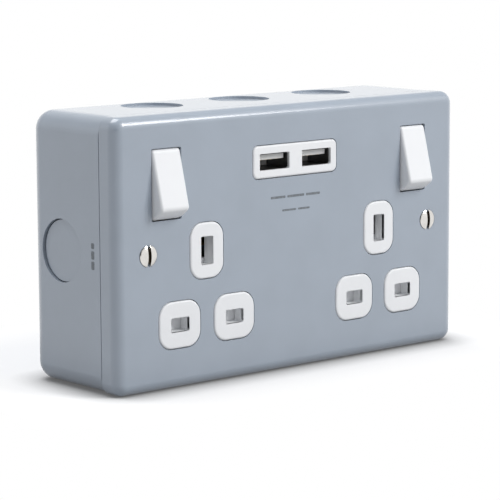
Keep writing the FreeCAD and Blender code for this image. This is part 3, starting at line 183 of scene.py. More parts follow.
paper = bpy.data.materials.new("white_paper")
tree = node_tree(paper)
looked_at = add_node(tree, "ShaderNodeLightPath").outputs["Is Camera Ray"]
crevice, plain = [add_node(tree, "ShaderNodeMapRange", Value=looked_at, To_Min=PAPER_BOUNCE,
                           To_Max=tone).outputs[0] for tone in (PAPER_CREVICE, PAPER)]
# Painted shade: the Ambient Occlusion node darkens the paper's colour where the object touches it,
# for the camera only.
openness = add_node(tree, "ShaderNodeAmbientOcclusion", samples=8, Distance=CONTACT).outputs["AO"]
tone = add_node(tree, "ShaderNodeMapRange", Value=openness, From_Min=CREVICE_FULL, From_Max=1.0,
                To_Min=crevice, To_Max=plain).outputs[0]
matt = add_node(tree, "ShaderNodeBsdfDiffuse", Color=tone)
glow = add_node(tree, "ShaderNodeEmission", Color=WHITE, Strength=1.0)
beyond = add_node(tree, "ShaderNodeTexCoord").outputs["Object"]
for operation, *given in (("ABSOLUTE",), ("SUBTRACT", FOOTPRINT), ("MAXIMUM", (0, 0, 0)),
                          ("LENGTH",)):
    step = add_node(tree, "ShaderNodeVectorMath", beyond, *given, operation=operation)
    beyond = step.outputs["Value" if operation == "LENGTH" else "Vector"]
reach = add_node(tree, "ShaderNodeMapRange", Value=beyond, From_Min=0.0, From_Max=GLOW_REACH,
                 To_Min=GLOW_NEAR).outputs[0]
share = maths(tree, "MULTIPLY", seen_directly(tree), reach)
mix = add_node(tree, "ShaderNodeMixShader", share, matt.outputs[0], glow.outputs[0])
add_node(tree, "ShaderNodeOutputMaterial", mix.outputs[0])
print("paper: glows fully %.0f mm past the object" % (GLOW_REACH / MM))

# %% [markdown]
# The paper itself is one flat square, far larger than the picture, at the level of the object's
# bottom edge. A grid with a single face is the shortest way to such a square.

# %% The floor
FLOOR_LEVEL, FLOOR_SIZE = -43 * MM, 6.0

floor_bm = bmesh.new()
bmesh.ops.create_grid(floor_bm, x_segments=1, y_segments=1, size=FLOOR_SIZE / 2)
bmesh.ops.translate(floor_bm, vec=(0, 0, FLOOR_LEVEL), verts=floor_bm.verts)
floor_mesh = bpy.data.meshes.new("floor")
floor_bm.to_mesh(floor_mesh)
floor_bm.free()
floor_mesh.materials.append(paper)
floor = bpy.data.objects.new("floor", floor_mesh)
bpy.context.scene.collection.objects.link(floor)
print("floor at", FLOOR_LEVEL / MM, "mm")

# %% [markdown]
# ## The lamps
# Two large soft lamps make the picture's shading. One above and behind lights the top and throws
# the short shadow in front of the edges. One in front, high on the right, lights the front and
# leaves the left side to the room's own light. The top needs no more light than that to look
# nearly white, because the camera sees it at a flat angle, at which gloss paint mirrors the white
# room. View transform Standard shows a colour as it is written.

# %% The lamps
def add_lamp(name, place, power, size, colour):
    """Square area lamp that shines at the middle of the object."""
    data = bpy.data.lights.new(name, "AREA")
    data.shape = "SQUARE"
    data.size = size
    data.energy = power
    data.color = colour
    lamp = bpy.data.objects.new(name, data)
    bpy.context.scene.collection.objects.link(lamp)
    way = AIM - Vector(place)
    turn = way.to_track_quat("-Z", "Y").to_matrix().to_4x4()
    lamp.matrix_world = Matrix.Translation(place) @ turn
    print(name, "%.1f m away" % way.length)


add_lamp("lamp_above", place=(-0.12, 0.45, 1.2), power=11.2, size=0.9, colour=(1, 1, 1))
add_lamp("lamp_front", place=(0.72, -1.08, 0.98), power=17.3, size=0.7, colour=(1, 0.99, 0.98))
bpy.context.scene.view_settings.view_transform = "Standard"

# %% [markdown]
# ## Finishes
# A real finish is never one flat colour. Each finish here has three small variations, all read
# from Object coordinates so that they stay on the piece when it moves: a faint mottling of the
# colour, a faint change of the gloss, and a bump that gives the surface its grain. The sizes of
# the grains are in millimetres, so a paint's orange peel stays 1.5 mm on every piece. An image
# texture could do the same, but noise nodes need no picture and no unwrapping.

# %% The finish maker
MOTTLE_DARK, MOTTLE_LIGHT = 0.3, 0.7
GLOSS_CHANGE, COAT_ROUGHNESS = 0.1, 0.14


def make_finish(name, colour, roughness, metallic=0.0, mottle=0.03, mottle_size=14.0,
                grain_size=1.5, grain_depth=0.01, stretch=(1, 1, 1), coat=0.0, shine=0.5):
    """Material with mottled colour, uneven gloss and grain; sizes and depth in millimetres."""
    material = bpy.data.materials.new(name)
    tree = node_tree(material)
    place = add_node(tree, "ShaderNodeTexCoord").outputs["Object"]
    place = add_node(tree, "ShaderNodeMapping", Vector=place, Scale=stretch).outputs[0]
    cloud, grain = [
        add_node(tree, "ShaderNodeTexNoise", Vector=place, Scale=1 / (size * MM),
                 Detail=detail).outputs["Fac"]
        for size, detail in ((mottle_size, 3.0), (grain_size, 2.0))
    ]
    tones = add_node(tree, "ShaderNodeValToRGB", cloud)
    dark, light = tones.color_ramp.elements
    dark.position, light.position = MOTTLE_DARK, MOTTLE_LIGHT
    dark.color = [c * (1 - mottle) for c in colour] + [1]
    light.color = [min(1, c * (1 + mottle)) for c in colour] + [1]
    gloss = add_node(tree, "ShaderNodeMapRange", Value=cloud,
                     To_Min=roughness * (1 - GLOSS_CHANGE), To_Max=roughness * (1 + GLOSS_CHANGE))
    bump = add_node(tree, "ShaderNodeBump", Strength=1.0, Distance=grain_depth * MM, Height=grain)
    shader = add_node(tree, "ShaderNodeBsdfPrincipled", Base_Color=tones.outputs[0],
                      Metallic=metallic, Roughness=gloss.outputs[0], Normal=bump.outputs[0],
                      Specular_IOR_Level=shine, Coat_Weight=coat, Coat_Roughness=COAT_ROUGHNESS)
    add_node(tree, "ShaderNodeOutputMaterial", shader.outputs[0])
    return material


# %% [markdown]
# The cover and box are painted with powder that melts to a hard skin, so their paint is a dull
# colour under a clear coat. The mouldings are one plastic, smooth where it shows and rougher
# inside. A metal has its colour in the reflection, so the screws, straps, springs and ports are
# fully metallic. The straps are rolled brass, and their grain is stretched along the rolling. The
# works of the charger board show only when the product is opened, and their finishes are simple.

# %% The finishes
steel_paint = make_finish("steel_paint", (0.335, 0.385, 0.45), 0.42, grain_depth=0.006, coat=1.0)
white_moulding = make_finish("white_moulding", (0.86, 0.872, 0.885), 0.4, mottle=0.01,
                             grain_size=0.8, grain_depth=0.002, shine=0.35)
grey_moulding = make_finish("grey_moulding", (0.62, 0.62, 0.6), 0.55, mottle=0.03,
                            grain_size=0.6, grain_depth=0.01)
bright_nickel = make_finish("bright_nickel", (0.74, 0.72, 0.69), 0.2, metallic=1.0, mottle=0.05,
                            mottle_size=2.0, grain_size=0.3, grain_depth=0.003)
zinc_plate = make_finish("zinc_plate", (0.62, 0.63, 0.62), 0.38, metallic=1.0, mottle=0.08,
                         mottle_size=3.0, grain_size=0.4, grain_depth=0.004)
rolled_brass = make_finish("rolled_brass", (0.72, 0.52, 0.22), 0.32, metallic=1.0, mottle=0.08,
                           mottle_size=5.0, grain_size=0.3, grain_depth=0.004,
                           stretch=(0.15, 1, 1))
# The ports' steel is nearly black: painted shade, standing for the shade deep inside the ports.
shaded_port_steel = make_finish("shaded_port_steel", (0.16, 0.16, 0.165), 0.35, metallic=1.0, mottle=0.05,
                         mottle_size=3.0, grain_size=0.3, grain_depth=0.003)
contact_tongue = make_finish("contact_tongue", (0.8, 0.8, 0.78), 0.4, mottle=0.02,
                             grain_size=0.5, grain_depth=0.003)
green_board = make_finish("green_board", (0.03, 0.16, 0.06), 0.4, mottle=0.2, mottle_size=3.0,
                          grain_size=0.8, grain_depth=0.01)
ferrite_block = make_finish("ferrite_block", (0.03, 0.03, 0.032), 0.6, mottle=0.15,
                            mottle_size=2.0, grain_size=0.4, grain_depth=0.02)
capacitor_can = make_finish("capacitor_can", (0.02, 0.025, 0.05), 0.35, mottle=0.1,
                            mottle_size=4.0, grain_size=0.5, grain_depth=0.003)
spring_wire = make_finish("spring_wire", (0.55, 0.55, 0.56), 0.3, metallic=1.0, mottle=0.05,
                          mottle_size=1.0, grain_size=0.2, grain_depth=0.002)
print("finishes:", len(bpy.data.materials))

# %% [markdown]
# Every CAD node gets the finish of the longest entry below that its name begins with, so `rocker`
# serves both rockers, and `plunger_spring` wins over `plunger`. That keeps left and right alike,
# and a node without an entry stops the script instead of staying grey.

# %% Finishes of the CAD nodes
NODE_FINISHES = {
    "cover_plate": steel_paint, "back_box": steel_paint, "box_lug": zinc_plate,
    "box_earth": rolled_brass, "front_moulding": white_moulding, "rear_moulding": grey_moulding,
    "assembly_screws": zinc_plate, "fixing_screw": bright_nickel, "earth_strap": rolled_brass,
    "neutral_strap": rolled_brass, "live": rolled_brass, "terminal": rolled_brass,
    "contact_arm": rolled_brass, "rocker": white_moulding, "plunger_spring": spring_wire,
    "plunger": white_moulding, "shutter_spring": spring_wire, "shutter": white_moulding,
    "usb_housing": white_moulding, "usb_back_cover": grey_moulding, "usb_board": green_board,
    "usb_transformer": ferrite_block, "usb_capacitors": capacitor_can, "usb_shell": shaded_port_steel,
    "usb_tongue": contact_tongue, "usb_contacts": rolled_brass,
}
for name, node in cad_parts.items():
    prefix = max((key for key in NODE_FINISHES if name.startswith(key)), key=len)
    node.data.materials.clear()
    node.data.materials.append(NODE_FINISHES[prefix])
print("CAD nodes finished:", len(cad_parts))

# %% [markdown]
# ## Tools for new pieces
# The camera looks closely at painted sheet steel and glossy mouldings, and what makes them real is
# the small rounding of every edge. The CAD meshes are loose triangles that can't be rounded, so the
# pieces that show are modelled again. All sizes below are millimetres, and depths are distances out
# from the wall, as on a drawing. A shape starts as a box or a cylinder, and `bevel` rounds it.

# %% Boxes, cylinders and rounding
TINY = 1e-4


def round_edges(bm, edges, radius, segments, clamp=True):
    """Round edges with a bevel, which a short edge next to them may hold back."""
    bmesh.ops.bevel(bm, geom=list(edges), offset=radius, offset_type="OFFSET", affect="EDGES",
                    segments=segments, profile=0.5, material=-1, clamp_overlap=clamp)


def add_prism(bm, x, z, width, height, back, front, corner=0.0, segments=6):
    """Box that looks out from the wall, with its four long edges rounded."""
    middle = Matrix.Translation((x, -(back + front) / 2, z))
    size = Matrix.Diagonal((width, front - back, height, 1))
    verts = bmesh.ops.create_cube(bm, size=1, matrix=middle @ size)["verts"]
    if corner:
        edges = {edge for vert in verts for edge in vert.link_edges}
        long = [e for e in edges if (e.verts[0].co - e.verts[1].co).xz.length < TINY]
        round_edges(bm, long, corner, segments)
    return bm


def add_cylinder(bm, place, axis, radius, depth, end_radius=None, segments=48):
    """Cylinder or cone about its middle, along an axis."""
    turn = Vector(axis).to_track_quat("Z", "Y").to_matrix().to_4x4()
    bmesh.ops.create_cone(bm, cap_ends=True, segments=segments, radius1=radius,
                          radius2=radius if end_radius is None else end_radius, depth=depth,
                          matrix=Matrix.Translation(place) @ turn)
    return bm


def rim(bm, out):
    """Edges that lie at one distance out from the wall."""
    return [e for e in bm.edges if all(abs(v.co.y + out) < TINY for v in e.verts)]


# %% [markdown]
# Boolean modifiers join and cut shapes, as a punch does, and other modifiers give sheet its
# thickness and soften what the punch leaves sharp. They could stay live on a piece, but a piece
# that the CAD frame moves is simpler as a plain mesh, so the result of the whole stack is kept and
# the blanks are thrown away. Weighted normals then make the flat faces look flat beside their
# small roundings.

# %% Joining and cutting
def loose_object(bm):
    """Object for a moment, in metres, from a bmesh in millimetres."""
    bmesh.ops.scale(bm, vec=(MM, MM, MM), verts=bm.verts)
    if all(len(edge.link_faces) == 2 for edge in bm.edges):
        bmesh.ops.recalc_face_normals(bm, faces=bm.faces)
    mesh = bpy.data.meshes.new("blank")
    bm.to_mesh(mesh)
    bm.free()
    blank = bpy.data.objects.new("blank", mesh)
    bpy.context.scene.collection.objects.link(blank)
    return blank


def shape(bm, *steps):
    """Mesh that is left after the steps: (operation, bmesh) a Boolean, or (modifier, values)."""
    items = [loose_object(bm)]
    for kind, given in steps:
        if isinstance(given, dict):
            modifier = items[0].modifiers.new(kind, kind)
            for key, value in given.items():
                setattr(modifier, key, value)
        else:
            items.append(loose_object(given))
            modifier = items[0].modifiers.new(kind, "BOOLEAN")
            modifier.operation, modifier.solver, modifier.object = kind, "EXACT", items[-1]
            modifier.use_self = True
    bpy.context.view_layer.update()
    graph = bpy.context.evaluated_depsgraph_get()
    mesh = bpy.data.meshes.new_from_object(items[0].evaluated_get(graph))
    for item in items:
        blank = item.data
        bpy.data.objects.remove(item)
        bpy.data.meshes.remove(blank)
    return mesh


def soft_edges(width, segments=2, angle=40):
    """A step that rounds every edge sharper than the angle."""
    return "BEVEL", {"width": width * MM, "segments": segments, "limit_method": "ANGLE",
                     "angle_limit": math.radians(angle)}


# %% Keeping a piece
CREASE = math.radians(50)


def keep(name, mesh, finish, body, slot, *replaced):
    """Keep a mesh as a piece of the scene that rides a body and takes a finish."""
    mesh.name = name
    mesh.materials.clear()
    mesh.materials.append(finish)
    mesh.shade_smooth()
    mesh.set_sharp_from_angle(angle=CREASE)
    piece = bpy.data.objects.new(name, mesh)
    bpy.context.scene.collection.objects.link(piece)
    even = piece.modifiers.new("even_faces", "WEIGHTED_NORMAL")
    even.keep_sharp = True
    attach(piece, body)
    if replaced:
        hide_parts(*replaced)
    edges = [edge for polygon in mesh.polygons for edge in polygon.edge_keys]
    print(name, len(mesh.polygons), "faces, open edges:", 2 * len(set(edges)) - len(edges))
    return piece


# %% [markdown]
# ## The steel shells
# Cover and box are pressings: one blank of sheet each, drawn into a tray. So each starts as a solid
# block whose edges are rounded with the radius of the press tool, loses one face, and gets the
# sheet's thickness inwards from a Solidify modifier. Then the holes are punched.

# %% Sizes of the shells
WIDTH, HEIGHT = 146.0, 86.0
BOX_DEPTH, FRONT, ISLAND_OUT = 36.0, 44.0, 44.3
SHEET, SEAM, GAP, OVERLAP = 1.2, 0.3, 0.25, 0.2
COVER_CORNER, FRONT_RADIUS, COVER_ROUNDING = 4.1, 3.6, 0.35
BOX_CORNER, BACK_RADIUS, BOX_ROUNDING = 6.0, 5.8, 0.18
SOCKET_X, PIN_X, PIN_Z, EARTH_Z = 37.2, 11.1, -22.7, -0.5
PINS = [(socket * SOCKET_X + pin * PIN_X, PIN_Z) for socket in (-1, 1) for pin in (-1, 1)]
EARTHS = [(-SOCKET_X, EARTH_Z), (SOCKET_X, EARTH_Z)]
LINE_ISLAND, EARTH_ISLAND, USB_ISLAND = (16.6, 14.8, 5.0), (13.5, 17.7, 4.8), (36.0, 10.5, 2.0)
USB_Z, ROCKER_X, ROCKER_Z, SCREW_X = 25.3, 53.0, 21.6, 60.3
print("shells: %.0f x %.0f mm, sheet %.1f mm, front %.0f mm out" % (WIDTH, HEIGHT, SHEET, FRONT))


# %% The tray
TRAY_SEGMENTS = 8


def tray(back, front, corner, open_out, rounded_out, radius):
    """Solid block with rounded corners and one rounded rim, opened at one end."""
    bm = add_prism(bmesh.new(), 0, 0, WIDTH, HEIGHT, back, front, corner, TRAY_SEGMENTS)
    round_edges(bm, rim(bm, rounded_out), radius, TRAY_SEGMENTS)
    lid = [f for f in bm.faces if all(abs(v.co.y + open_out) < TINY for v in f.verts)]
    bmesh.ops.delete(bm, geom=lid, context="FACES")
    return bm


def sheet_inwards():
    """A step that gives a skin the sheet's thickness towards the inside."""
    return "SOLIDIFY", {"thickness": SHEET * MM, "offset": -1, "use_even_offset": True}


# %% [markdown]
# The cover has a window for every island and rocker, a little larger than what comes through it,
# and a dimpled hole for each fixing screw: a straight punch and a cone that opens to the front.
# Inside it stand four round nuts for the screws that hold the mouldings. Each reaches a little way
# into the sheet, because a Boolean is unsure where two solids only share a face.

# %% The cover
PUNCH, PUNCH_LENGTH, SMALL_CORNER = (40, 46), 6, (0.5, 3)
ROCKER_HOLE, SCREW_HOLE, DIMPLE = (11.8, 22.4), 1.95, 3.75
POSTS = [(-33, 28), (33, 28), (-57, -28), (57, -28)]
NUT_RADIUS, NUT_HEIGHT, NUT_BORE, NUT_PUNCH = 3.0, 2.0, 1.65, 2.6

nuts, punches = bmesh.new(), bmesh.new()
for x, z in POSTS:
    nut_middle = NUT_HEIGHT / 2 - FRONT + SHEET
    add_cylinder(nuts, (x, nut_middle - OVERLAP / 2, z), (0, 1, 0), NUT_RADIUS,
                 NUT_HEIGHT + OVERLAP)
    add_cylinder(punches, (x, nut_middle, z), (0, 1, 0), NUT_BORE, NUT_PUNCH)
for places, (width, height, corner) in ((PINS, LINE_ISLAND), (EARTHS, EARTH_ISLAND),
                                        ([(0, USB_Z)], USB_ISLAND)):
    for x, z in places:
        add_prism(punches, x, z, width + 2 * GAP, height + 2 * GAP, *PUNCH, corner + GAP)
for side in (-1, 1):
    add_prism(punches, side * ROCKER_X, ROCKER_Z, *ROCKER_HOLE, *PUNCH, *SMALL_CORNER)
    add_cylinder(punches, (side * SCREW_X, -sum(PUNCH) / 2, 0), (0, 1, 0), SCREW_HOLE,
                 PUNCH_LENGTH)
    add_cylinder(punches, (side * SCREW_X, OVERLAP / 2 - FRONT + SHEET / 2, 0), (0, -1, 0),
                 SCREW_HOLE, SHEET + OVERLAP, end_radius=DIMPLE)
keep(
    "cover_shell",
    shape(tray(BOX_DEPTH + SEAM, FRONT, COVER_CORNER, BOX_DEPTH + SEAM, FRONT, FRONT_RADIUS),
          sheet_inwards(), ("UNION", nuts), ("DIFFERENCE", punches), soft_edges(COVER_ROUNDING)),
    steel_paint, "root", "painted_steel", "cover_plate",
)

# %% [markdown]
# The box has ten knock-outs. Each is a 20 mm disc that the press has sheared through and pushed a
# little way in, all but a short stretch of its edge that still holds it. So it shows as a shallow
# round pit with a gap on one side that looks into the dark box. A hole is cut first, and a smaller
# disc is put back, shifted until it meets the hole's edge on the side that holds. Four plain holes
# in the back take the screws into the wall.

# %% The box
KNOCKOUT_OUT, KNOCKOUT_APART = 16.4, 36.5
PIT_RADIUS, PIT_DEPTH, KNOCKOUT_SEGMENTS = 10.0, 3.4, 72
DISC_RADIUS, DISC_SUNK, DISC_SHIFT = 9.75, 0.8, 0.32
WALL_HOLE_X, WALL_HOLE_Z, WALL_HOLE = 63, 18, 3.1
pits, discs = bmesh.new(), bmesh.new()


def add_knockout(place, axis, held):
    """Hole and disc of one knock-out; axis points inwards and held to the side that holds."""
    place, axis, held = Vector(place), Vector(axis), Vector(held)
    add_cylinder(pits, place, axis, PIT_RADIUS, PIT_DEPTH, segments=KNOCKOUT_SEGMENTS)
    add_cylinder(discs, place + axis * (DISC_SUNK + SHEET / 2) + held * DISC_SHIFT, axis,
                 DISC_RADIUS, SHEET, segments=KNOCKOUT_SEGMENTS)


for x in (-KNOCKOUT_APART, 0, KNOCKOUT_APART):
    for up in (-1, 1):
        add_knockout((x, -KNOCKOUT_OUT, up * HEIGHT / 2), (0, 0, -up), (0, 1, 0))
    if x:
        add_knockout((x, 0, 0), (0, -1, 0), (0, 0, -1))
for side in (-1, 1):
    add_knockout((side * WIDTH / 2, -KNOCKOUT_OUT, 0), (-side, 0, 0), (0, -1, 0))
    for level in (-1, 1):
        add_cylinder(pits, (side * WALL_HOLE_X, 0, level * WALL_HOLE_Z), (0, 1, 0), WALL_HOLE,
                     PUNCH_LENGTH)
keep(
    "box_shell",
    shape(tray(0, BOX_DEPTH, BOX_CORNER, BOX_DEPTH, 0, BACK_RADIUS), sheet_inwards(),
          ("DIFFERENCE", pits), ("UNION", discs), soft_edges(BOX_ROUNDING)),
    steel_paint, "root", "painted_steel", "back_box",
)

# %% [markdown]
# ## The white islands
# Front moulding and USB housing reach through the cover as low islands with soft rims. The CAD
# solids carry them already, so a thin cap with a truly round rim is fitted over each: outside as
# high as the solid, and punched where the pins and plugs go in.

# %% The caps
CAP, CAP_BACK, CAP_SEGMENTS, CAP_ROUNDING = 0.02, 42.9, 8, (0.25, 3)
RIM_RADIUS, RIM_SEGMENTS = 0.7, 5
LINE_SLOT, EARTH_SLOT, PORT = (7.4, 4.6), (5.0, 9.0), (12.6, 5.3)
PORTS = [(-9.0, USB_Z), (9.0, USB_Z)]


def cap(places, size, slots, slot_size):
    """Low islands with rounded rims, with slots punched through."""
    width, height, corner = size
    top = ISLAND_OUT + CAP
    bm = bmesh.new()
    for x, z in places:
        add_prism(bm, x, z, width + 2 * CAP, height + 2 * CAP, CAP_BACK, top, corner, CAP_SEGMENTS)
    round_edges(bm, rim(bm, top), RIM_RADIUS, RIM_SEGMENTS)
    cutter = bmesh.new()
    for x, z in slots:
        add_prism(cutter, x, z, *slot_size, *PUNCH, *SMALL_CORNER)
    return shape(bm, ("DIFFERENCE", cutter), soft_edges(*CAP_ROUNDING))


for name, places, size, slots, slot_size in (
        ("line_islands", PINS, LINE_ISLAND, PINS, LINE_SLOT),
        ("earth_islands", EARTHS, EARTH_ISLAND, EARTHS, EARTH_SLOT),
        ("usb_island", [(0, USB_Z)], USB_ISLAND, PORTS, PORT)):
    keep(name, cap(places, size, slots, slot_size), white_moulding, "root", "white_moulding")

# %% [markdown]
# ## The rockers
# A rocker's ends are arcs about its axle, so that the gap round it stays the same as it tips. Its
# shape is a cylinder about the axle, cut flat at the front and behind. `bisect_plane` makes those
# cuts. The two ends of the face, found as its edges that run along the axle, are rounded first, and
# then every other edge that is sharper than 0.7 radians. A bevel leaves some edges of hardly any
# length, and a clamped bevel after it shrinks to nothing at them. So the doubles are merged in
# between, the second bevel isn't clamped, and what it leaves is merged again.

# %% Sizes of the rockers
SWING, FACE, SKIRT, ROCKER_WIDTH, THROW, PIVOT_OUT = 11.4, 6.6, 3.5, 11.1, 14.5, 40.0
ROCKER_SEGMENTS, ACROSS, SHARP = 72, 1, 0.7
END_ROUNDING, END_SEGMENTS, END_MERGE = 1.8, 8, 0.3
EDGE_ROUNDING, EDGE_SEGMENTS, EDGE_MERGE = 0.9, 6, 0.03
half_face = math.sqrt(SWING ** 2 - FACE ** 2)
print("rocker: face %.1f mm high, tipped by %.1f degrees" % (2 * half_face, THROW))


# %% The outside of a rocker
def flatten(bm, out, towards):
    """Cut a solid flat at one distance out and close the cut."""
    parts = bm.verts[:] + bm.edges[:] + bm.faces[:]
    cut = bmesh.ops.bisect_plane(bm, geom=parts, plane_co=(0, -out, 0), plane_no=(0, towards, 0),
                                 clear_outer=True)["geom_cut"]
    edges = [item for item in cut if isinstance(item, bmesh.types.BMEdge)]
    bmesh.ops.contextual_create(bm, geom=edges)


def rocker_outside():
    """Rocker as a solid about its axle, level."""
    bm = add_cylinder(bmesh.new(), (0, 0, 0), (1, 0, 0), SWING, ROCKER_WIDTH,
                      segments=ROCKER_SEGMENTS)
    flatten(bm, FACE, -1)
    flatten(bm, -SKIRT, 1)
    ends = [e for e in rim(bm, FACE) if abs((e.verts[0].co - e.verts[1].co).x) > ACROSS]
    round_edges(bm, ends, END_ROUNDING, END_SEGMENTS)
    bmesh.ops.remove_doubles(bm, verts=bm.verts, dist=END_MERGE)
    rounded = [e for e in bm.edges if e.calc_face_angle(0) > SHARP and e not in rim(bm, -SKIRT)]
    round_edges(bm, rounded, EDGE_ROUNDING, EDGE_SEGMENTS, clamp=False)
    bmesh.ops.remove_doubles(bm, verts=bm.verts, dist=EDGE_MERGE)
    return bm


# %% [markdown]
# Behind its face a rocker is hollow. A square stem runs back from the face, with a bore for the
# sprung plunger, a bridge joins the stem to the side walls, and two stub axles stand out at the
# sides. The hollow is cut before the inside parts are joined on, so that it doesn't cut the stem,
# and the bore comes last. The shape is made level and then tipped to off, as in the photograph.

# %% The rockers
HOLLOW_WIDTH, HOLLOW_WALLS, HOLLOW_BACK, HOLLOW_FRONT = 7.5, 3.6, -6, 4.8
STEM, STEM_BACK, STEM_FRONT = 6.4, -10.5, 5.0
BRIDGE_WIDTH, BRIDGE_HEIGHT, BRIDGE_FRONT = 9.3, 3.6, 5.1
AXLE_RADIUS, AXLE_ENDS, ROUND_SEGMENTS = 1.5, 3.2, 32
BORE_RADIUS, BORE_MIDDLE, BORE_LENGTH = 1.6, 3.6, 13.8


def rocker_mesh(side):
    """One rocker, tipped to off and in its place."""
    hollow = add_prism(bmesh.new(), 0, 0, HOLLOW_WIDTH, 2 * half_face - HOLLOW_WALLS, HOLLOW_BACK,
                       HOLLOW_FRONT)
    inner = add_prism(bmesh.new(), 0, 0, STEM, STEM, STEM_BACK, STEM_FRONT)
    add_prism(inner, 0, 0, BRIDGE_WIDTH, BRIDGE_HEIGHT, -SKIRT, BRIDGE_FRONT)
    add_cylinder(inner, (0, 0, 0), (1, 0, 0), AXLE_RADIUS, ROCKER_WIDTH + AXLE_ENDS,
                 segments=ROUND_SEGMENTS)
    bore = add_cylinder(bmesh.new(), (0, BORE_MIDDLE, 0), (0, 1, 0), BORE_RADIUS, BORE_LENGTH,
                        segments=ROUND_SEGMENTS)
    mesh = shape(rocker_outside(), ("DIFFERENCE", hollow), ("UNION", inner), ("DIFFERENCE", bore))
    tip = Matrix.Rotation(math.radians(-THROW), 4, "X")
    place = Vector((side * ROCKER_X, -PIVOT_OUT, ROCKER_Z)) * MM
    mesh.transform(Matrix.Translation(place) @ tip)
    return mesh


for name, side in (("left", -1), ("right", 1)):
    keep(f"rocker_piece_{name}", rocker_mesh(side), white_moulding, f"rocker_{name}",
         "white_moulding", f"rocker_{name}")

# %% [markdown]
# ## The springs
# A coil spring pushes each shutter and each plunger back. A coil gets shorter as it is pressed, and
# a stiff copy would be run through by what presses it; the copies here keep their length, and the
# travel is only printed. For each pair of springs the table gives the body that carries them, the
# direction from the end that stays put to the end that is pressed, and the travel.

# %% The springs
SPRINGS = {"shutter": ("root", Vector((0, 0, 1)), 5.4),
           "plunger": ("rocker_{}", Vector((0, 0.968148, -0.25038)), 1.2)}
for presser, (carrier, away, travel) in SPRINGS.items():
    for side in ("left", "right"):
        bm = bmesh.new()
        bm.from_mesh(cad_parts[f"{presser}_spring_{side}"].data)
        bmesh.ops.remove_doubles(bm, verts=bm.verts, dist=TINY * MM)
        coil = bpy.data.meshes.new("coil")
        bm.to_mesh(coil)
        bm.free()
        ends = sorted((vert.co.copy() for vert in coil.vertices), key=away.dot)
        length = (ends[-1] - ends[0]).dot(away)
        piece = keep(f"{presser}_coil_{side}", coil, spring_wire, carrier.format(side),
                     "spring_steel", f"{presser}_spring_{side}")
        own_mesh(piece)
        print("  %.1f mm long, pressed by %.1f mm" % (length / MM, travel))

# %% [markdown]
# ## The fixing screws
# A turned part is half an outline spun about its axis. The head is a low dome over a cone that sits
# in the cover's dimple, and a box cuts the driver slot, which stands upright in the photograph. The
# outline starts at the middle of the dome and ends at the middle of the screw's tip.

# %% The shape of a screw
HEAD, SHANK, DOME, SCREW_LENGTH = 3.35, 1.7, 0.75, 17.0
DOME_STEPS, CONE_DEPTH, TIP_CHAMFER, SCREW_STEPS = 8, 1.25, 0.3, 56
SLOT, SLOT_LENGTH, SLOT_DEPTH, SLOT_CLEAR = 1.2, 9.0, 1.4, 3.0
SCREW_ROUNDING = (0.08, 2, 50)


def screw_mesh(side):
    """One screw in its place, with an upright slot."""
    sphere = (HEAD ** 2 + DOME ** 2) / (2 * DOME)
    reach = math.asin(HEAD / sphere)
    angles = [reach * i / DOME_STEPS for i in range(DOME_STEPS + 1)]
    outline = [(sphere * math.sin(a), DOME - sphere * (1 - math.cos(a))) for a in angles]
    outline += [(SHANK, -CONE_DEPTH), (SHANK, TIP_CHAMFER - SCREW_LENGTH),
                (SHANK - TIP_CHAMFER, -SCREW_LENGTH), (0, -SCREW_LENGTH)]
    bm = bmesh.new()
    verts = [bm.verts.new((x, -y, 0)) for x, y in outline]
    edges = [bm.edges.new(pair) for pair in zip(verts, verts[1:])]
    bmesh.ops.spin(bm, geom=verts + edges, cent=(0, 0, 0), axis=(0, 1, 0), angle=2 * math.pi,
                   steps=SCREW_STEPS, use_merge=True)
    bmesh.ops.remove_doubles(bm, verts=bm.verts, dist=TINY)
    slot = add_prism(bmesh.new(), 0, 0, SLOT, SLOT_LENGTH, DOME - SLOT_DEPTH, SLOT_CLEAR)
    mesh = shape(bm, ("DIFFERENCE", slot), soft_edges(*SCREW_ROUNDING))
    mesh.transform(Matrix.Translation(Vector((side * SCREW_X, -FRONT, 0)) * MM))
    return mesh


# %% [markdown]
# A screw's slot is much darker than its head. The slot's walls are steep, but a polished metal
# still mirrors the white room there, so the slot's shade is painted into the finish: it is darkened
# where the slot is, in a band of its width, at the screw's distance from the middle.

# %% The screws
SLOT_SHADE, SLOT_EDGE = (0.2, 0.18, 0.15, 1), 0.01


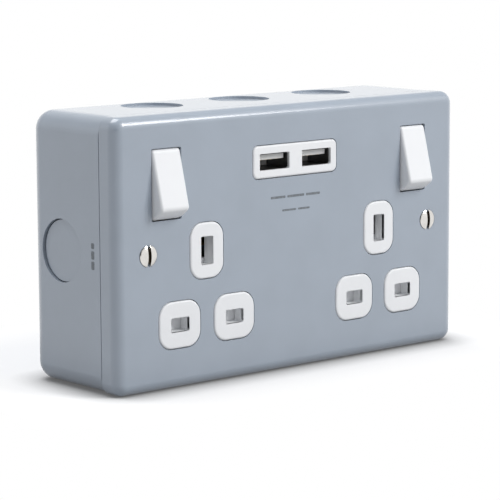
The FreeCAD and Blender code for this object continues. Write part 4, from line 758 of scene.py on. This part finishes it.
def paint_slot_shade(material):
    """Paint the slot's shade into the finish, in the band across each head where the slot is."""
    tree = material.node_tree
    place = add_node(tree, "ShaderNodeTexCoord").outputs["Object"]
    across = maths(tree, "ABSOLUTE", add_node(tree, "ShaderNodeSeparateXYZ", place).outputs["X"])
    off_slot = maths(tree, "ABSOLUTE", maths(tree, "SUBTRACT", across, SCREW_X * MM))
    in_slot = maths(tree, "LESS_THAN", off_slot, (SLOT / 2 + SLOT_EDGE) * MM)
    shader = next(node for node in tree.nodes if node.type == "BSDF_PRINCIPLED")
    plate = shader.inputs["Base Color"].links[0].from_socket
    mix = add_node(tree, "ShaderNodeMix", data_type="RGBA", Factor=in_slot)
    bright, shaded = [socket for socket in mix.inputs if socket.type == "RGBA"]
    shaded.default_value = SLOT_SHADE
    tree.links.new(plate, bright)
    tree.links.new(next(s for s in mix.outputs if s.type == "RGBA"), shader.inputs["Base Color"])


# Painted shade: the screw slots are darkened in the nickel finish.
paint_slot_shade(bright_nickel)
for name, side in (("left", -1), ("right", 1)):
    keep(f"screw_piece_{name}", screw_mesh(side), bright_nickel, "root", "nickel",
         f"fixing_screw_{name}")

# %% [markdown]
# ## Plain print
# Under the ports the cover carries two short lines of print, and the left side a small mark. They
# are made as plain bars. Ink is a film, so each bar is only a few hundredths of a millimetre thick.
# An image on the paint could show the same, but bars of their own keep their edges at any distance.

# %% The print on the front
INK, INK_UNDER, INK_CORNER = 0.03, 0.02, (0.3, 3)
FRONT_BARS = ((-10.5, -4.2, 13.1, 13.9), (-3.4, 3.9, 13.1, 13.9), (4.7, 10.8, 13.1, 13.9),
              (-5.6, 0.4, 8.8, 9.45), (1.2, 6.3, 8.8, 9.45))
printing_ink = make_finish("printing_ink", (0.17, 0.19, 0.21), 0.5, mottle=0.25, mottle_size=1.0,
                           grain_size=0.3, grain_depth=0.004)
bars = bmesh.new()
for left, right, low, high in FRONT_BARS:
    add_prism(bars, (left + right) / 2, (low + high) / 2, right - left, high - low,
              FRONT - INK_UNDER, FRONT + INK, *INK_CORNER)
keep("front_print", shape(bars), printing_ink, "root", "painted_steel")

# %% The print on the side
MARK_OUT, MARK_WIDTH, MARK_CORNER, MARK_SEGMENTS = 32.5, 1.5, 0.4, 3
MARK_BARS = ((-2.9, 2.6), (0.3, 2.6), (3.2, 1.8))
mark = bmesh.new()
for middle, length in MARK_BARS:
    place = Matrix.Translation((-WIDTH / 2, -MARK_OUT, middle))
    size = Matrix.Diagonal((2 * INK, MARK_WIDTH, length, 1))
    bmesh.ops.create_cube(mark, size=1, matrix=place @ size)
short = [e for e in mark.edges if abs(e.verts[0].co.x - e.verts[1].co.x) > TINY / 10]
round_edges(mark, short, MARK_CORNER, MARK_SEGMENTS)
keep("side_print", shape(mark), printing_ink, "root", "painted_steel")
